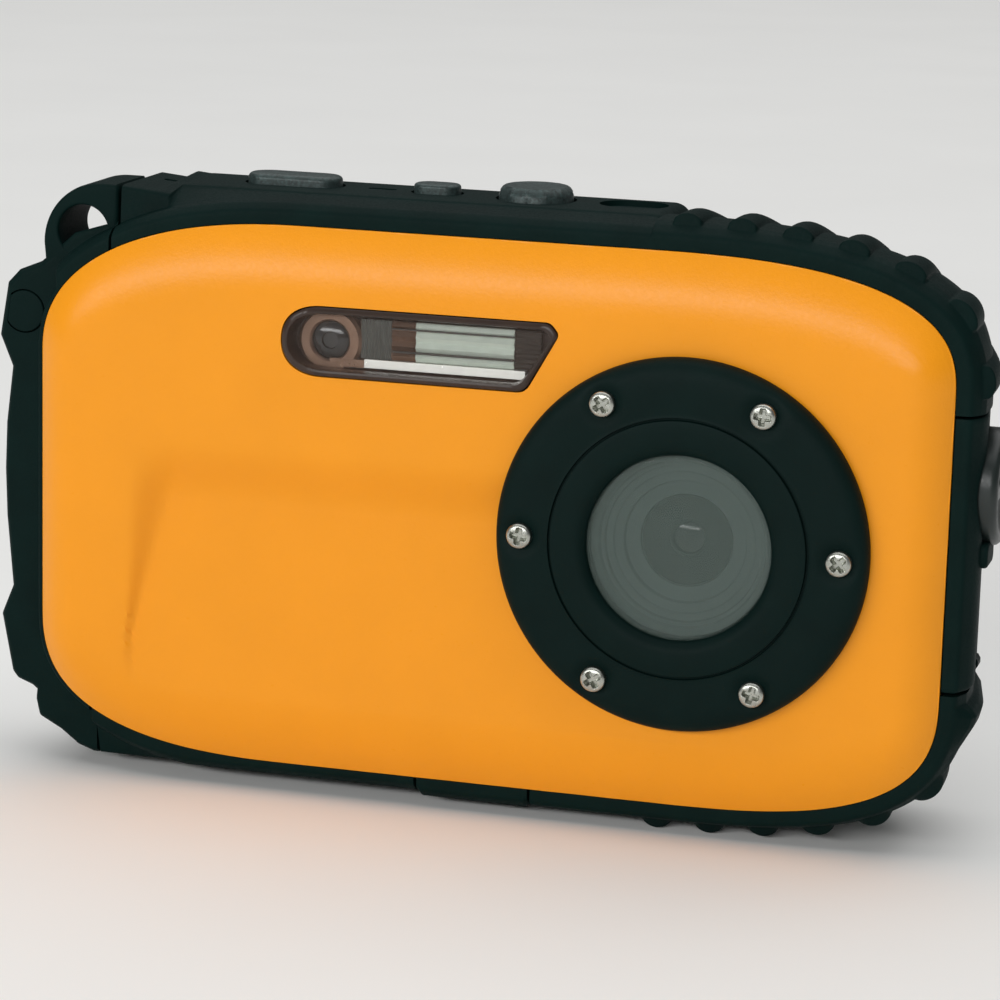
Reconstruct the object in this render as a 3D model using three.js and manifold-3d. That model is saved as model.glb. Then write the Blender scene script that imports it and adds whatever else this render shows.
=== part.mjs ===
// Rugged waterproof compact camera: an orange front plate in ribbed black armour, with its insides.
// Millimetres. X runs to the right of the front, Y from front to back and Z up. While it is built, the
// front plate's centre is at X = 0 and Z = 0 and the plate's edge at Y = 0; the finished group is moved
// so that its origin is the middle of the camera's footprint, on the surface that it stands on.
import * as THREE from 'three';
import { mergeVertices } from 'three/addons/utils/BufferGeometryUtils.js';
import { ConvexGeometry } from 'three/addons/geometries/ConvexGeometry.js';
import Module from 'manifold-3d';

const wasm = await Module();
wasm.setup();

// Fits
const GAP = 0.3; // clearance between pieces that touch
const TRAVEL = 0.5; // how far a key or button is pressed
const KEY_PROUD = 0.5; // how far a rear key stands out

// Depths, from the plate's edge
const PLATE_FACE = -2.1;
const PLATE_BACK = 0.3;
const HOUSING_FRONT = PLATE_BACK + GAP;
const HOUSING_BACK = 16.3;
const COVER_FRONT = HOUSING_BACK + GAP;
const BODY_BACK = 19.2;
const ARMOUR_BACK = 17;

// Front plate: its outline is straight sides joined by superellipse corners
const PLATE_WIDTH = 90;
const PLATE_HEIGHT = 53.4;
const PLATE_WALL = 1.4;
const CORNERS = [
  { sideX: 1, sideZ: 1, reachX: 30.2, reachZ: 11.85, power: 2.71 },
  { sideX: -1, sideZ: 1, reachX: 26.6, reachZ: 13.9, power: 2.28 },
  { sideX: -1, sideZ: -1, reachX: 26.1, reachZ: 13.5, power: 2.6 },
  { sideX: 1, sideZ: -1, reachX: 27.35, reachZ: 13.45, power: 2.95 },
];
const CORNER_STEPS = 7;
const RIGHT = PLATE_WIDTH / 2;
const TOP = PLATE_HEIGHT / 2;

// Housing behind the plate
const HOUSING_WALL = 1.8;
const FRONT_WALL_BACK = HOUSING_FRONT + 1.4;

// Armour around the housing, as distances outside the plate's outline
const ARMOUR = 2.4;
const RIB_HEIGHT = 0.75;
const STAND = TOP + ARMOUR + RIB_HEIGHT; // what the camera stands on, below the plate's centre
const RIB_RADIUS = 1.7;
const RIB_PITCH = 5.35;
const RIB_FRONT = 2.2;
const CORNER_CENTRE_X = RIGHT - 25; // what the ribs round the corners point at
const RAIL = 1.8;
const SEAM_TOP_LEFT = -RIGHT + 7;
const SEAM_BOTTOM_LEFT = -RIGHT + 5.1;

// Lens port
const LENS_X = RIGHT - 24.6;
const LENS_Z = -0.6;
const RING_RADIUS = 17.9;
const RING_FACE = -4.5;
const SPIGOT_RADIUS = 13.4;
const GLASS_RADIUS = 10;
const PORT_RADIUS = 8.87;
const BARREL_RADIUS = 8.2;
const BARREL_BACK = 8;
const SCREW_CIRCLE = 15.27;
const SCREW_HEAD = 1.2;
const SCREW_SHANK = 0.65;
const SCREW_COUNT = 6;

// Flash window
const FLASH_LEFT = LENS_X - 39.9;
const FLASH_RIGHT = LENS_X - 12.6;
const FLASH_BOTTOM = TOP - 13.95;
const FLASH_TOP = TOP - 7.3;
const FLASH_SLANT = 3.2;
const LAMP_RADIUS = 1.9;
const LAMP_HOUSING_RADIUS = 2.9;

// Top deck
const DECK_TOP = TOP + 2.7;
const SHELF_TOP = TOP + 1.95;
const DECK_RIGHT = 17.4;
const SHELF_RIGHT = -32.6;
const DECK_MIDDLE = 10;
const SHUTTER = { x: -22.45, length: 9.5, width: 4.2, top: DECK_TOP + 1.1 };
const POWER = { x: -7.9, length: 4.6, width: 3.2, top: DECK_TOP + 1 };
const MODE = { x: 2.05, radius: 3.7, top: DECK_TOP + 1.3 };
const BUTTON_BASE = TOP + GAP + TRAVEL + 0.4;

// Side door and its latch
const DOOR_BOTTOM = -13.1;
const DOOR_TOP = 11.85;
const DOOR_THICKNESS = 2.4;
const DOOR_INSIDE = RIGHT + GAP + 0.1;
const DOOR_OUTSIDE = DOOR_INSIDE + DOOR_THICKNESS;
const HINGE_RADIUS = DOOR_THICKNESS / 2;
const HINGE_X = DOOR_INSIDE + HINGE_RADIUS;
const HINGE_Z = DOOR_BOTTOM + HINGE_RADIUS;
const PIN_RADIUS = 0.45;
const LUG_LENGTH = 1.7;
const LUG_STARTS = [4.4, 7.4];
const LUG_RADIUS = 0.85;
const KNOB_Y = 7.2;
const KNOB_Z = 5.5;
const KNOB_RADIUS = 5.6;
const KNOB_BASE = DOOR_OUTSIDE - 0.8;
const KNOB_FACE = DOOR_OUTSIDE + 1.3;
const STEM_RADIUS = 1.5;
const TONGUE_REACH = 6;
const TONGUE_THICKNESS = 1.3;
const BAY_OPENING = { front: 4.9, back: 14.9, bottom: -8.8, top: 9.3 };
const GASKET_MARGIN = 0.5;
const GASKET_WIDTH = 0.8;
const GASKET_DEPTH = 0.6;

// Battery bay
const TONGUE_RIGHT = RIGHT - HOUSING_WALL - GAP;
const TRAY_RIGHT = TONGUE_RIGHT - TONGUE_THICKNESS - 2 * GAP;
const TRAY_WALL = 0.7;
const BATTERY = { length: 33, depth: 3.9, height: 17.4 };
const TRAY_FRONT = BARREL_BACK + 1.6;

// Rear
const DISPLAY = { width: 52, height: 39.5, right: RIGHT - 4.5 };
const DISPLAY_DEPTH = 2.2;
const DISPLAY_CORNER = 3;
const DISPLAY_RECESS = 1.2;
const DISPLAY_LEDGE = 1.5;
const KEY_X = -RIGHT + 16.5;
const CASE_SCREW_RADIUS = 1.1;

// Tripod boss
const BOSS_X = 0.5;
const BOSS_Y = 9.5;
const BOSS_RADIUS = 5.3;
const NUT_RADIUS = 3.9;
const NUT_BORE = 2.55; // inside a quarter-inch camera thread
const NUT_LENGTH = 5.6;
const BLOCK = { left: BOSS_X - 6.4, right: BOSS_X + 5.1 };

// Finishes
const look = (color, roughness, metalness = 0) => (
  new THREE.MeshStandardMaterial({ color, roughness, metalness })
);
const ORANGE = look('#f2962a', 0.35);
const BLACK = look('#14201f', 0.6);
const RUBBER = look('#101a19', 0.85);
const GREY = look('#3d4443', 0.45);
const GLASS = look('#6c7b7a', 0.05);
const DARK_GLASS = look('#0a0c0e', 0.05);
const SMOKE = look('#9a8f86', 0.1);
const BRONZE = look('#8d6a4c', 0.35, 0.6);
const CHROME = look('#d9dbdb', 0.12, 1);
const STEEL = look('#b8bab8', 0.3, 1);
const BRASS = look('#b8954a', 0.35, 1);
const BOARD = look('#1d5a34', 0.5);
const SHELL = look('#26292b', 0.7);
const CELL = look('#2d4f86', 0.4);

// Solids ------------------------------------------------------------------------------------------

function solidOf(geometry) {
  geometry.deleteAttribute('normal');
  geometry.deleteAttribute('uv');
  const merged = mergeVertices(geometry, 1e-4);
  const corners = merged.index.array;
  const kept = [];
  for (let i = 0; i < corners.length; i += 3) {
    const [a, b, c] = [corners[i], corners[i + 1], corners[i + 2]];
    if (a !== b && b !== c && c !== a) kept.push(a, b, c);
  }
  return new wasm.Manifold(new wasm.Mesh({
    numProp: 3,
    vertProperties: merged.attributes.position.array,
    triVerts: new Uint32Array(kept),
  }));
}

function geometryOf(solid) {
  const mesh = solid.getMesh();
  const geometry = new THREE.BufferGeometry();
  geometry.setAttribute('position', new THREE.BufferAttribute(mesh.vertProperties, 3));
  geometry.setIndex(new THREE.BufferAttribute(mesh.triVerts, 1));
  geometry.computeVertexNormals();
  return geometry;
}

const join = (first, ...others) => others.reduce((sum, solid) => sum.add(solid), first);
const cut = (first, ...others) => others.reduce((sum, solid) => sum.subtract(solid), first);

const AXES = {
  x: new THREE.Vector3(1, 0, 0),
  y: new THREE.Vector3(0, 1, 0),
  z: new THREE.Vector3(0, 0, 1),
  back: new THREE.Vector3(0, -1, 0),
};
// An outline's two directions, and the direction it is pushed along: (Y, Z) along X, (X, Z) along Y
// and (X, Y) along Z.
const PRISM_FRAMES = {
  x: new THREE.Matrix4().makeBasis(AXES.y, AXES.z, AXES.x),
  y: new THREE.Matrix4().makeBasis(AXES.x, AXES.z, AXES.back),
  z: new THREE.Matrix4(),
};

// The outline's points pushed along an axis, from one place on it to another.
function prism(axis, points, from, to) {
  const shape = new THREE.Shape(points);
  const geometry = new THREE.ExtrudeGeometry(shape, { depth: to - from, bevelEnabled: false });
  geometry.applyMatrix4(PRISM_FRAMES[axis]);
  const shift = axis === 'y' ? to : from;
  geometry.translate(...AXES[axis].clone().multiplyScalar(shift).toArray());
  return solidOf(geometry);
}

function box(x0, x1, y0, y1, z0, z1) {
  const geometry = new THREE.BoxGeometry(x1 - x0, y1 - y0, z1 - z0);
  geometry.translate((x0 + x1) / 2, (y0 + y1) / 2, (z0 + z1) / 2);
  return solidOf(geometry);
}

const points2 = (pairs) => pairs.map(([u, v]) => new THREE.Vector2(u, v));

function circle(u, v, radius, steps = 20) {
  const points = [];
  for (let i = 0; i < steps; i += 1) {
    const turn = (2 * Math.PI * (i + 0.5)) / steps;
    points.push(new THREE.Vector2(u + radius * Math.cos(turn), v + radius * Math.sin(turn)));
  }
  return points;
}

const rod = (axis, u, v, radius, from, to, steps) => prism(axis, circle(u, v, radius, steps), from, to);

// A rectangle with round corners, grown on all sides by `grow`.
function rounded(u, v, width, height, radius, grow = 0, steps = 3) {
  const halfU = width / 2 + grow;
  const halfV = height / 2 + grow;
  const r = Math.min(radius + grow, halfU, halfV);
  const points = [];
  [[1, 1], [-1, 1], [-1, -1], [1, -1]].forEach(([su, sv], quarter) => {
    for (let i = 0; i <= steps; i += 1) {
      const turn = (Math.PI / 2) * (quarter + i / steps);
      points.push(new THREE.Vector2(
        u + su * (halfU - r) + r * Math.cos(turn),
        v + sv * (halfV - r) + r * Math.sin(turn),
      ));
    }
  });
  return points.filter((p, i) => p.distanceTo(points[(i + 1) % points.length]) > 1e-3);
}

// A profile of (radius, Y) pairs turned round the lens axis, anticlockwise with radius to the right.
function turned(profile, x = LENS_X, z = LENS_Z, steps = 40) {
  const geometry = new THREE.LatheGeometry(points2(profile), steps);
  geometry.translate(x, 0, z);
  return solidOf(geometry);
}

// The plate's outline moved outwards by `offset`, anticlockwise from the right.
function outline(offset = 0, steps = CORNER_STEPS) {
  const points = [];
  for (const { sideX, sideZ, reachX, reachZ, power } of CORNERS) {
    for (let i = 0; i <= steps; i += 1) {
      const share = (sideX * sideZ > 0 ? i : steps - i) / steps;
      const turn = (Math.PI / 2) * share;
      const alongX = Math.max(Math.cos(turn), 0) ** (2 / power);
      const alongZ = Math.sin(turn) ** (2 / power);
      const normal = new THREE.Vector2(alongX ** (power - 1) / reachX, alongZ ** (power - 1) / reachZ);
      normal.setLength(offset);
      points.push(new THREE.Vector2(
        sideX * (RIGHT - reachX + reachX * alongX + normal.x),
        sideZ * (TOP - reachZ + reachZ * alongZ + normal.y),
      ));
    }
  }
  return points;
}

// The plate's outline drawn in towards its centre, by `inset` at the middle of each side.
function inner(inset) {
  return outline(0).map((p) => new THREE.Vector2(
    p.x * (1 - inset / RIGHT),
    p.y * (1 - inset / TOP),
  ));
}

// The convex solid through outlines in X and Z, each at its own Y.
function stack(...levels) {
  const points = levels.flatMap(([ring, y]) => ring.map((p) => new THREE.Vector3(p.x, y, p.y)));
  return solidOf(new ConvexGeometry(points));
}

// Points along the right half of the outline, `pitch` apart, from a starting X on its top or bottom.
function ribPlaces(side, startX, count) {
  const path = outline(ARMOUR, 40).filter((p) => p.x >= startX && p.y * side > 0);
  path.sort((p, q) => side * (q.y - p.y) || p.x - q.x);
  const places = [path[0].clone()];
  let walked = 0;
  for (let i = 1; i < path.length && places.length < count; i += 1) {
    walked += path[i].distanceTo(path[i - 1]);
    if (walked >= RIB_PITCH * places.length) places.push(path[i].clone());
  }
  return places;
}

const group = new THREE.Group();

function add(name, material, solid) {
  const mesh = new THREE.Mesh(geometryOf(solid), material);
  mesh.name = name;
  group.add(mesh);
}

// Shared outlines ---------------------------------------------------------------------------------

const screwPlaces = [];
for (let i = 0; i < SCREW_COUNT; i += 1) {
  const turn = (2 * Math.PI * i) / SCREW_COUNT;
  screwPlaces.push([LENS_X + SCREW_CIRCLE * Math.cos(turn), LENS_Z + SCREW_CIRCLE * Math.sin(turn)]);
}

// The flash window: a round left end and a right end that leans out towards the top.
function flashOutline(grow = 0) {
  const middle = (FLASH_TOP + FLASH_BOTTOM) / 2;
  const radius = (FLASH_TOP - FLASH_BOTTOM) / 2 + grow;
  const points = [];
  for (let i = 0; i <= 6; i += 1) {
    const turn = Math.PI * (0.5 + i / 6);
    points.push([FLASH_LEFT - grow + radius + radius * Math.cos(turn), middle + radius * Math.sin(turn)]);
  }
  points.push([FLASH_RIGHT - FLASH_SLANT + grow, FLASH_BOTTOM - grow]);
  points.push([FLASH_RIGHT + grow, FLASH_TOP - 1.2]);
  points.push([FLASH_RIGHT - 1.2 + grow, FLASH_TOP + grow]);
  return points2(points);
}

const KEYS = [
  { name: 'zoom_in_key', outline: (grow) => rounded(KEY_X + 3.4, 18, 5.6, 4, 1.6, grow) },
  { name: 'zoom_out_key', outline: (grow) => rounded(KEY_X - 3.4, 18, 5.6, 4, 1.6, grow) },
  { name: 'playback_key', outline: (grow) => rounded(KEY_X + 4.4, 11.3, 5, 3.4, 1.5, grow) },
  { name: 'menu_key', outline: (grow) => rounded(KEY_X - 4.4, 11.3, 5, 3.4, 1.5, grow) },
  { name: 'delete_key', outline: (grow) => rounded(KEY_X, -13.4, 5, 3.4, 1.5, grow) },
];
const PAD_Z = -1.5;
const PAD_RADIUS = 8;
const OK_RADIUS = 3.1;

const caseScrewPlaces = [
  [RIGHT - 14, TOP - 4.6],
  [-RIGHT + 13, TOP - 5.4],
  [-RIGHT + 10, -TOP + 6.5],
  [RIGHT - 14, -TOP + 4.6],
];

// Front plate, housing and rear cover -------------------------------------------------------------

function frontCover() {
  const outside = stack(
    [outline(0), PLATE_BACK],
    [outline(0), 0],
    [inner(1.6), -1.2],
    [inner(6.5), PLATE_FACE],
  );
  const hollow = stack(
    [inner(PLATE_WALL), PLATE_BACK + 1],
    [inner(PLATE_WALL), 0],
    [inner(6.5), PLATE_FACE + PLATE_WALL],
  );
  const port = rod('y', LENS_X, LENS_Z, SPIGOT_RADIUS + GAP, PLATE_FACE - 1, PLATE_BACK + 1, 40);
  const window = prism('y', flashOutline(GAP), PLATE_FACE - 1, PLATE_BACK + 1);
  const holes = screwPlaces.map(([x, z]) => (
    rod('y', x, z, SCREW_SHANK + GAP, PLATE_FACE - 1, PLATE_BACK + 1, 8)
  ));
  return cut(outside, hollow, port, window, ...holes);
}

function mainHousing() {
  const wall = cut(
    prism('y', outline(0), HOUSING_FRONT, HOUSING_BACK),
    prism('y', inner(HOUSING_WALL), FRONT_WALL_BACK, HOUSING_BACK + 1),
  );
  const lensHole = rod('y', LENS_X, LENS_Z, BARREL_RADIUS + GAP, HOUSING_FRONT - 1, FRONT_WALL_BACK + 1, 24);
  const flashHole = box(
    FLASH_LEFT + 1, FLASH_RIGHT - FLASH_SLANT - 1, HOUSING_FRONT - 1, FRONT_WALL_BACK + 1,
    FLASH_BOTTOM + 0.2, FLASH_TOP - 0.3,
  );
  const screwHoles = screwPlaces.map(([x, z]) => (
    rod('y', x, z, SCREW_SHANK + GAP, HOUSING_FRONT - 1, FRONT_WALL_BACK + 1, 8)
  ));
  const bay = box(
    RIGHT - HOUSING_WALL - 1, RIGHT + 1, BAY_OPENING.front, BAY_OPENING.back,
    BAY_OPENING.bottom, BAY_OPENING.top,
  );
  const nutHole = rod('z', BOSS_X, BOSS_Y, NUT_RADIUS + GAP, -TOP - 1, -TOP + HOUSING_WALL + 1, 16);
  const lugs = LUG_STARTS.map((start) => cut(
    join(
      rod('y', HINGE_X, HINGE_Z, LUG_RADIUS, start, start + LUG_LENGTH, 12),
      box(
        RIGHT - 0.5, HINGE_X, start, start + LUG_LENGTH,
        HINGE_Z - LUG_RADIUS, HINGE_Z + LUG_RADIUS,
      ),
    ),
    rod('y', HINGE_X, HINGE_Z, PIN_RADIUS + 0.1, start - 1, start + LUG_LENGTH + 1, 8),
  ));
  const posts = caseScrewPlaces.map(([x, z]) => (
    rod('y', x, z, 2.2, FRONT_WALL_BACK - 0.5, HOUSING_BACK, 12)
  ));
  const postHoles = caseScrewPlaces.map(([x, z]) => (
    rod('y', x, z, SCREW_SHANK + GAP, HOUSING_BACK - 6, HOUSING_BACK + 1, 8)
  ));
  const shell = cut(wall, lensHole, flashHole, ...screwHoles, bay, nutHole);
  return cut(join(shell, ...lugs, ...posts), ...postHoles);
}

const displayX = DISPLAY.right - DISPLAY.width / 2;
const displayOutline = (grow) => (
  rounded(displayX, 0, DISPLAY.width, DISPLAY.height, DISPLAY_CORNER, grow)
);

function rearCover() {
  const body = stack(
    [outline(0), COVER_FRONT],
    [outline(0), ARMOUR_BACK + 0.6],
    [inner(1.2), BODY_BACK],
  );
  const recess = prism('y', displayOutline(GAP), BODY_BACK - DISPLAY_RECESS, BODY_BACK + 1);
  const through = prism('y', displayOutline(-DISPLAY_LEDGE), COVER_FRONT - 1, BODY_BACK);
  const keyHoles = KEYS.map((key) => prism('y', key.outline(GAP), COVER_FRONT - 1, BODY_BACK + 1));
  const padHole = rod('y', KEY_X, PAD_Z, PAD_RADIUS + GAP, COVER_FRONT - 1, BODY_BACK + 1, 24);
  const screwHoles = caseScrewPlaces.flatMap(([x, z]) => [
    rod('y', x, z, SCREW_SHANK + GAP, COVER_FRONT - 1, BODY_BACK, 8),
    rod('y', x, z, CASE_SCREW_RADIUS + GAP, BODY_BACK - 1.1, BODY_BACK + 1, 12),
  ]);
  return cut(body, recess, through, ...keyHoles, padHole, ...screwHoles);
}

function screw(x, z, headFrom, headTo, tip, headRadius) {
  const outwards = Math.sign(tip - headFrom);
  const inwards = outwards > 0 ? headTo : headFrom;
  const shank = outwards > 0
    ? rod('y', x, z, SCREW_SHANK, inwards - 0.2, tip, 8)
    : rod('y', x, z, SCREW_SHANK, tip, inwards + 0.2, 8);
  const face = outwards > 0 ? headFrom : headTo;
  const slots = [[0.9, 0.22], [0.22, 0.9]].map(([w, h]) => (
    box(x - w * 0.8, x + w * 0.8, face - 0.3, face + 0.3, z - h * 0.8, z + h * 0.8)
  ));
  return cut(join(rod('y', x, z, headRadius, headFrom, headTo, 12), shank), ...slots);
}

// Armour ------------------------------------------------------------------------------------------

const keepBox = (x0, x1, z0, z1) => box(x0, x1, -3, 30, z0, z1);
const FAR = 90;

// A ring of armour outside the housing, with a bevelled front edge and a tapered back.
function armourRing(thickness) {
  const outside = stack(
    [outline(thickness - 1), 0],
    [outline(thickness), 2.2],
    [outline(thickness), 11],
    [outline(thickness - 1.2), ARMOUR_BACK],
  );
  return cut(outside, prism('y', outline(GAP), -1, ARMOUR_BACK + 1));
}

const ring = armourRing(ARMOUR);
const sideHollow = prism('y', outline(GAP), -1, ARMOUR_BACK + 1);

function ribs(side, startX, count) {
  return ribPlaces(side, startX, count).map((p) => {
    const inwards = RIB_RADIUS - RIB_HEIGHT;
    const straight = Math.abs(p.y) > TOP + ARMOUR - GAP;
    const direction = straight
      ? new THREE.Vector2(0, -side)
      : new THREE.Vector2(CORNER_CENTRE_X - p.x, -p.y);
    const centre = p.clone().add(direction.setLength(inwards));
    return rod('y', centre.x, centre.y, RIB_RADIUS, RIB_FRONT, ARMOUR_BACK - 1.5, 12);
  });
}

// The left bumper's face: a round lug for the strap above a waisted grip with two corner horns.
function leftFace() {
  const shape = new THREE.Shape();
  const left = -RIGHT;
  shape.moveTo(left + 12, TOP + 2.4);
  shape.lineTo(left + 5.3, TOP + 2.5);
  shape.absarc(left + 5.1, TOP - 3.6, 6.1, Math.PI / 2, Math.PI, false);
  shape.lineTo(left - 1, TOP - 5.8);
  shape.lineTo(left - 3.6, TOP - 6.7);
  shape.lineTo(left - 4.6, TOP - 8);
  shape.lineTo(left - 5.4, TOP - 13.2);
  shape.lineTo(left - 4.1, TOP - 16.3);
  shape.lineTo(left - 4.8, TOP - 26.7);
  shape.lineTo(left - 4.1, -TOP + 14.7);
  shape.lineTo(left - 5.3, -TOP + 11.7);
  shape.lineTo(left - 4.1, -TOP + 5.5);
  shape.lineTo(left - 1.6, -TOP + 4.1);
  shape.lineTo(left - 1.2, -TOP + 1.4);
  shape.lineTo(left + 3, -TOP - 1.2);
  shape.lineTo(left + 12, -TOP - RAIL);
  return shape.extractPoints(5).shape;
}

const PLUG = { x: -RIGHT - 2.1, z: TOP - 10.6, radius: 2.1 };
const STRAP = { x: -RIGHT + 3.2, z: TOP - 2.3, radius: 2.6 };
const LUG_BACK = 10.4;

function leftBumper() {
  const grip = cut(
    prism('y', leftFace(), 2.5, ARMOUR_BACK - 0.5),
    box(-FAR, -RIGHT - 2, 13, ARMOUR_BACK, -TOP - 9, TOP + 9),
    box(-FAR, FAR, LUG_BACK, ARMOUR_BACK, TOP - 5.9, TOP + 9),
  );
  const strapHole = rod('y', STRAP.x, STRAP.z, STRAP.radius, -1, ARMOUR_BACK + 1, 16);
  const plugHole = rod('y', PLUG.x, PLUG.z, PLUG.radius + GAP, 1, 5.3, 16);
  const solid = cut(join(ring, grip), sideHollow, strapHole, plugHole);
  const upper = keepBox(-FAR, SEAM_TOP_LEFT - GAP / 2, 0, FAR);
  const lower = keepBox(-FAR, SEAM_BOTTOM_LEFT - GAP / 2, -FAR, 0);
  return solid.intersect(join(upper, lower));
}

function topDeck() {
  const profile = points2([
    [0.6, TOP - 6], [ARMOUR_BACK, TOP - 6], [ARMOUR_BACK, TOP + 0.9], [14.6, DECK_TOP], [5.6, DECK_TOP],
    [2.2, TOP + 1.9], [0.6, TOP + 1.2],
  ]);
  const slab = cut(
    prism('x', profile, SEAM_TOP_LEFT, DECK_RIGHT),
    box(-FAR, SHELF_RIGHT, 0, ARMOUR_BACK + 1, SHELF_TOP, DECK_TOP + 9),
  );
  const pockets = [
    prism('z', rounded(SHUTTER.x, DECK_MIDDLE, SHUTTER.length, SHUTTER.width, 2, GAP), TOP - 1, DECK_TOP + 1),
    prism('z', rounded(POWER.x, DECK_MIDDLE, POWER.length, POWER.width, 1.5, GAP), TOP - 1, DECK_TOP + 1),
    rod('z', MODE.x, DECK_MIDDLE, MODE.radius + GAP, TOP - 1, DECK_TOP + 1, 16),
    prism('z', rounded(-13.5, DECK_MIDDLE, 2.9, 0.9, 0.4), DECK_TOP - 0.9, DECK_TOP + 1),
    prism('z', rounded(11.65, DECK_MIDDLE + 0.4, 6.7, 5, 2.4), DECK_TOP - 0.5, DECK_TOP + 1),
    prism('z', rounded(SHELF_RIGHT - 2.5, DECK_MIDDLE, 2.2, 0.9, 0.4), SHELF_TOP - 0.7, SHELF_TOP + 1),
  ];
  const keep = keepBox(SEAM_TOP_LEFT + GAP / 2, DECK_RIGHT, 0, FAR);
  return cut(join(ring, slab).intersect(keep), sideHollow, ...pockets);
}

function topRightBumper() {
  const solid = join(ring, ...ribs(1, DECK_RIGHT + 2.1, 7));
  return cut(solid, sideHollow).intersect(keepBox(DECK_RIGHT + GAP, FAR, DOOR_TOP + GAP, FAR));
}

function bottomRightBumper() {
  const solid = join(ring, ...ribs(-1, BLOCK.right + 12.5, 6));
  return cut(solid, sideHollow).intersect(keepBox(BLOCK.right + GAP / 2, FAR, -FAR, DOOR_BOTTOM - GAP));
}

function bottomLeftRail() {
  const keep = keepBox(SEAM_BOTTOM_LEFT + GAP / 2, BLOCK.left - GAP / 2, -FAR, 0);
  return armourRing(RAIL).intersect(keep);
}

function tripodBlock() {
  const boss = rod('z', BOSS_X, BOSS_Y, BOSS_RADIUS, -STAND, -TOP, 24);
  const bore = rod('z', BOSS_X, BOSS_Y, NUT_RADIUS + GAP, -STAND - 1, -TOP + 1, 16);
  const keep = keepBox(BLOCK.left + GAP / 2, BLOCK.right - GAP / 2, -FAR, 0);
  return cut(join(ring, boss), sideHollow, bore).intersect(keep);
}

function tripodNut() {
  const bottom = -STAND + 0.3;
  const outside = rod('z', BOSS_X, BOSS_Y, NUT_RADIUS, bottom, bottom + NUT_LENGTH, 16);
  return cut(outside, rod('z', BOSS_X, BOSS_Y, NUT_BORE, bottom - 1, bottom + NUT_LENGTH - 0.7, 16));
}

// Side door ---------------------------------------------------------------------------------------

function gasketOutline(grow) {
  const { front, back, bottom, top } = BAY_OPENING;
  return rounded(
    (front + back) / 2, (bottom + top) / 2, back - front, top - bottom, 0.8, GASKET_MARGIN + grow, 2,
  );
}

function gasketBand(x0, x1, clearance) {
  return cut(
    prism('x', gasketOutline(GASKET_WIDTH + clearance), x0, x1),
    prism('x', gasketOutline(-clearance), x0 - 1, x1 + 1),
  );
}

function sideDoor() {
  const profile = points2([
    [DOOR_INSIDE, 0], [DOOR_INSIDE + 1.1, 0], [DOOR_OUTSIDE - 0.4, 1.2], [DOOR_OUTSIDE, 2.2],
    [DOOR_OUTSIDE, 11], [DOOR_OUTSIDE - 1.1, ARMOUR_BACK], [DOOR_INSIDE, ARMOUR_BACK],
  ]);
  const leaf = join(
    prism('z', profile, HINGE_Z, DOOR_TOP),
    rod('y', HINGE_X, HINGE_Z, HINGE_RADIUS, 0.5, ARMOUR_BACK - 0.5, 16),
    prism('x', rounded(4.8, -0.4, 4.2, 2.4, 0.6), DOOR_OUTSIDE - 1, DOOR_OUTSIDE + 0.6),
  );
  const knobRecess = rod('x', KNOB_Y, KNOB_Z, KNOB_RADIUS + GAP, KNOB_BASE - GAP, DOOR_OUTSIDE + 9, 28);
  const stemHole = rod('x', KNOB_Y, KNOB_Z, STEM_RADIUS + GAP, DOOR_INSIDE - 1, DOOR_OUTSIDE, 12);
  const groove = gasketBand(DOOR_INSIDE - 1, DOOR_INSIDE + GASKET_DEPTH, GAP / 2);
  const lugRooms = LUG_STARTS.map((start) => (
    rod('y', HINGE_X, HINGE_Z, HINGE_RADIUS + GAP, start - GAP, start + LUG_LENGTH + GAP, 16)
  ));
  const pinHole = rod('y', HINGE_X, HINGE_Z, PIN_RADIUS + 0.1, -1, ARMOUR_BACK + 1, 8);
  return cut(leaf, knobRecess, stemHole, groove, ...lugRooms, pinHole);
}

function doorKnob() {
  const grip = join(
    rod('x', KNOB_Y, KNOB_Z, KNOB_RADIUS, KNOB_BASE, KNOB_FACE - 0.5, 28),
    rod('x', KNOB_Y, KNOB_Z, KNOB_RADIUS - 0.6, KNOB_BASE, KNOB_FACE, 28),
  );
  const dish = rod('x', KNOB_Y, KNOB_Z, KNOB_RADIUS - 1.5, KNOB_FACE - 0.9, KNOB_FACE + 1, 28);
  const bar = box(
    KNOB_BASE, KNOB_FACE - 0.1, KNOB_Y - KNOB_RADIUS + 1.2, KNOB_Y + KNOB_RADIUS - 1.2,
    KNOB_Z - 0.9, KNOB_Z + 0.9,
  );
  return join(cut(grip, dish), bar);
}

function latchCam() {
  const stem = rod('x', KNOB_Y, KNOB_Z, STEM_RADIUS, TONGUE_RIGHT - 0.5, KNOB_BASE - GAP, 12);
  const tongue = box(
    TONGUE_RIGHT - TONGUE_THICKNESS, TONGUE_RIGHT, KNOB_Y - STEM_RADIUS, KNOB_Y + TONGUE_REACH,
    KNOB_Z - STEM_RADIUS, KNOB_Z + STEM_RADIUS,
  );
  return join(stem, tongue);
}

// Lens port ---------------------------------------------------------------------------------------

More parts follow.
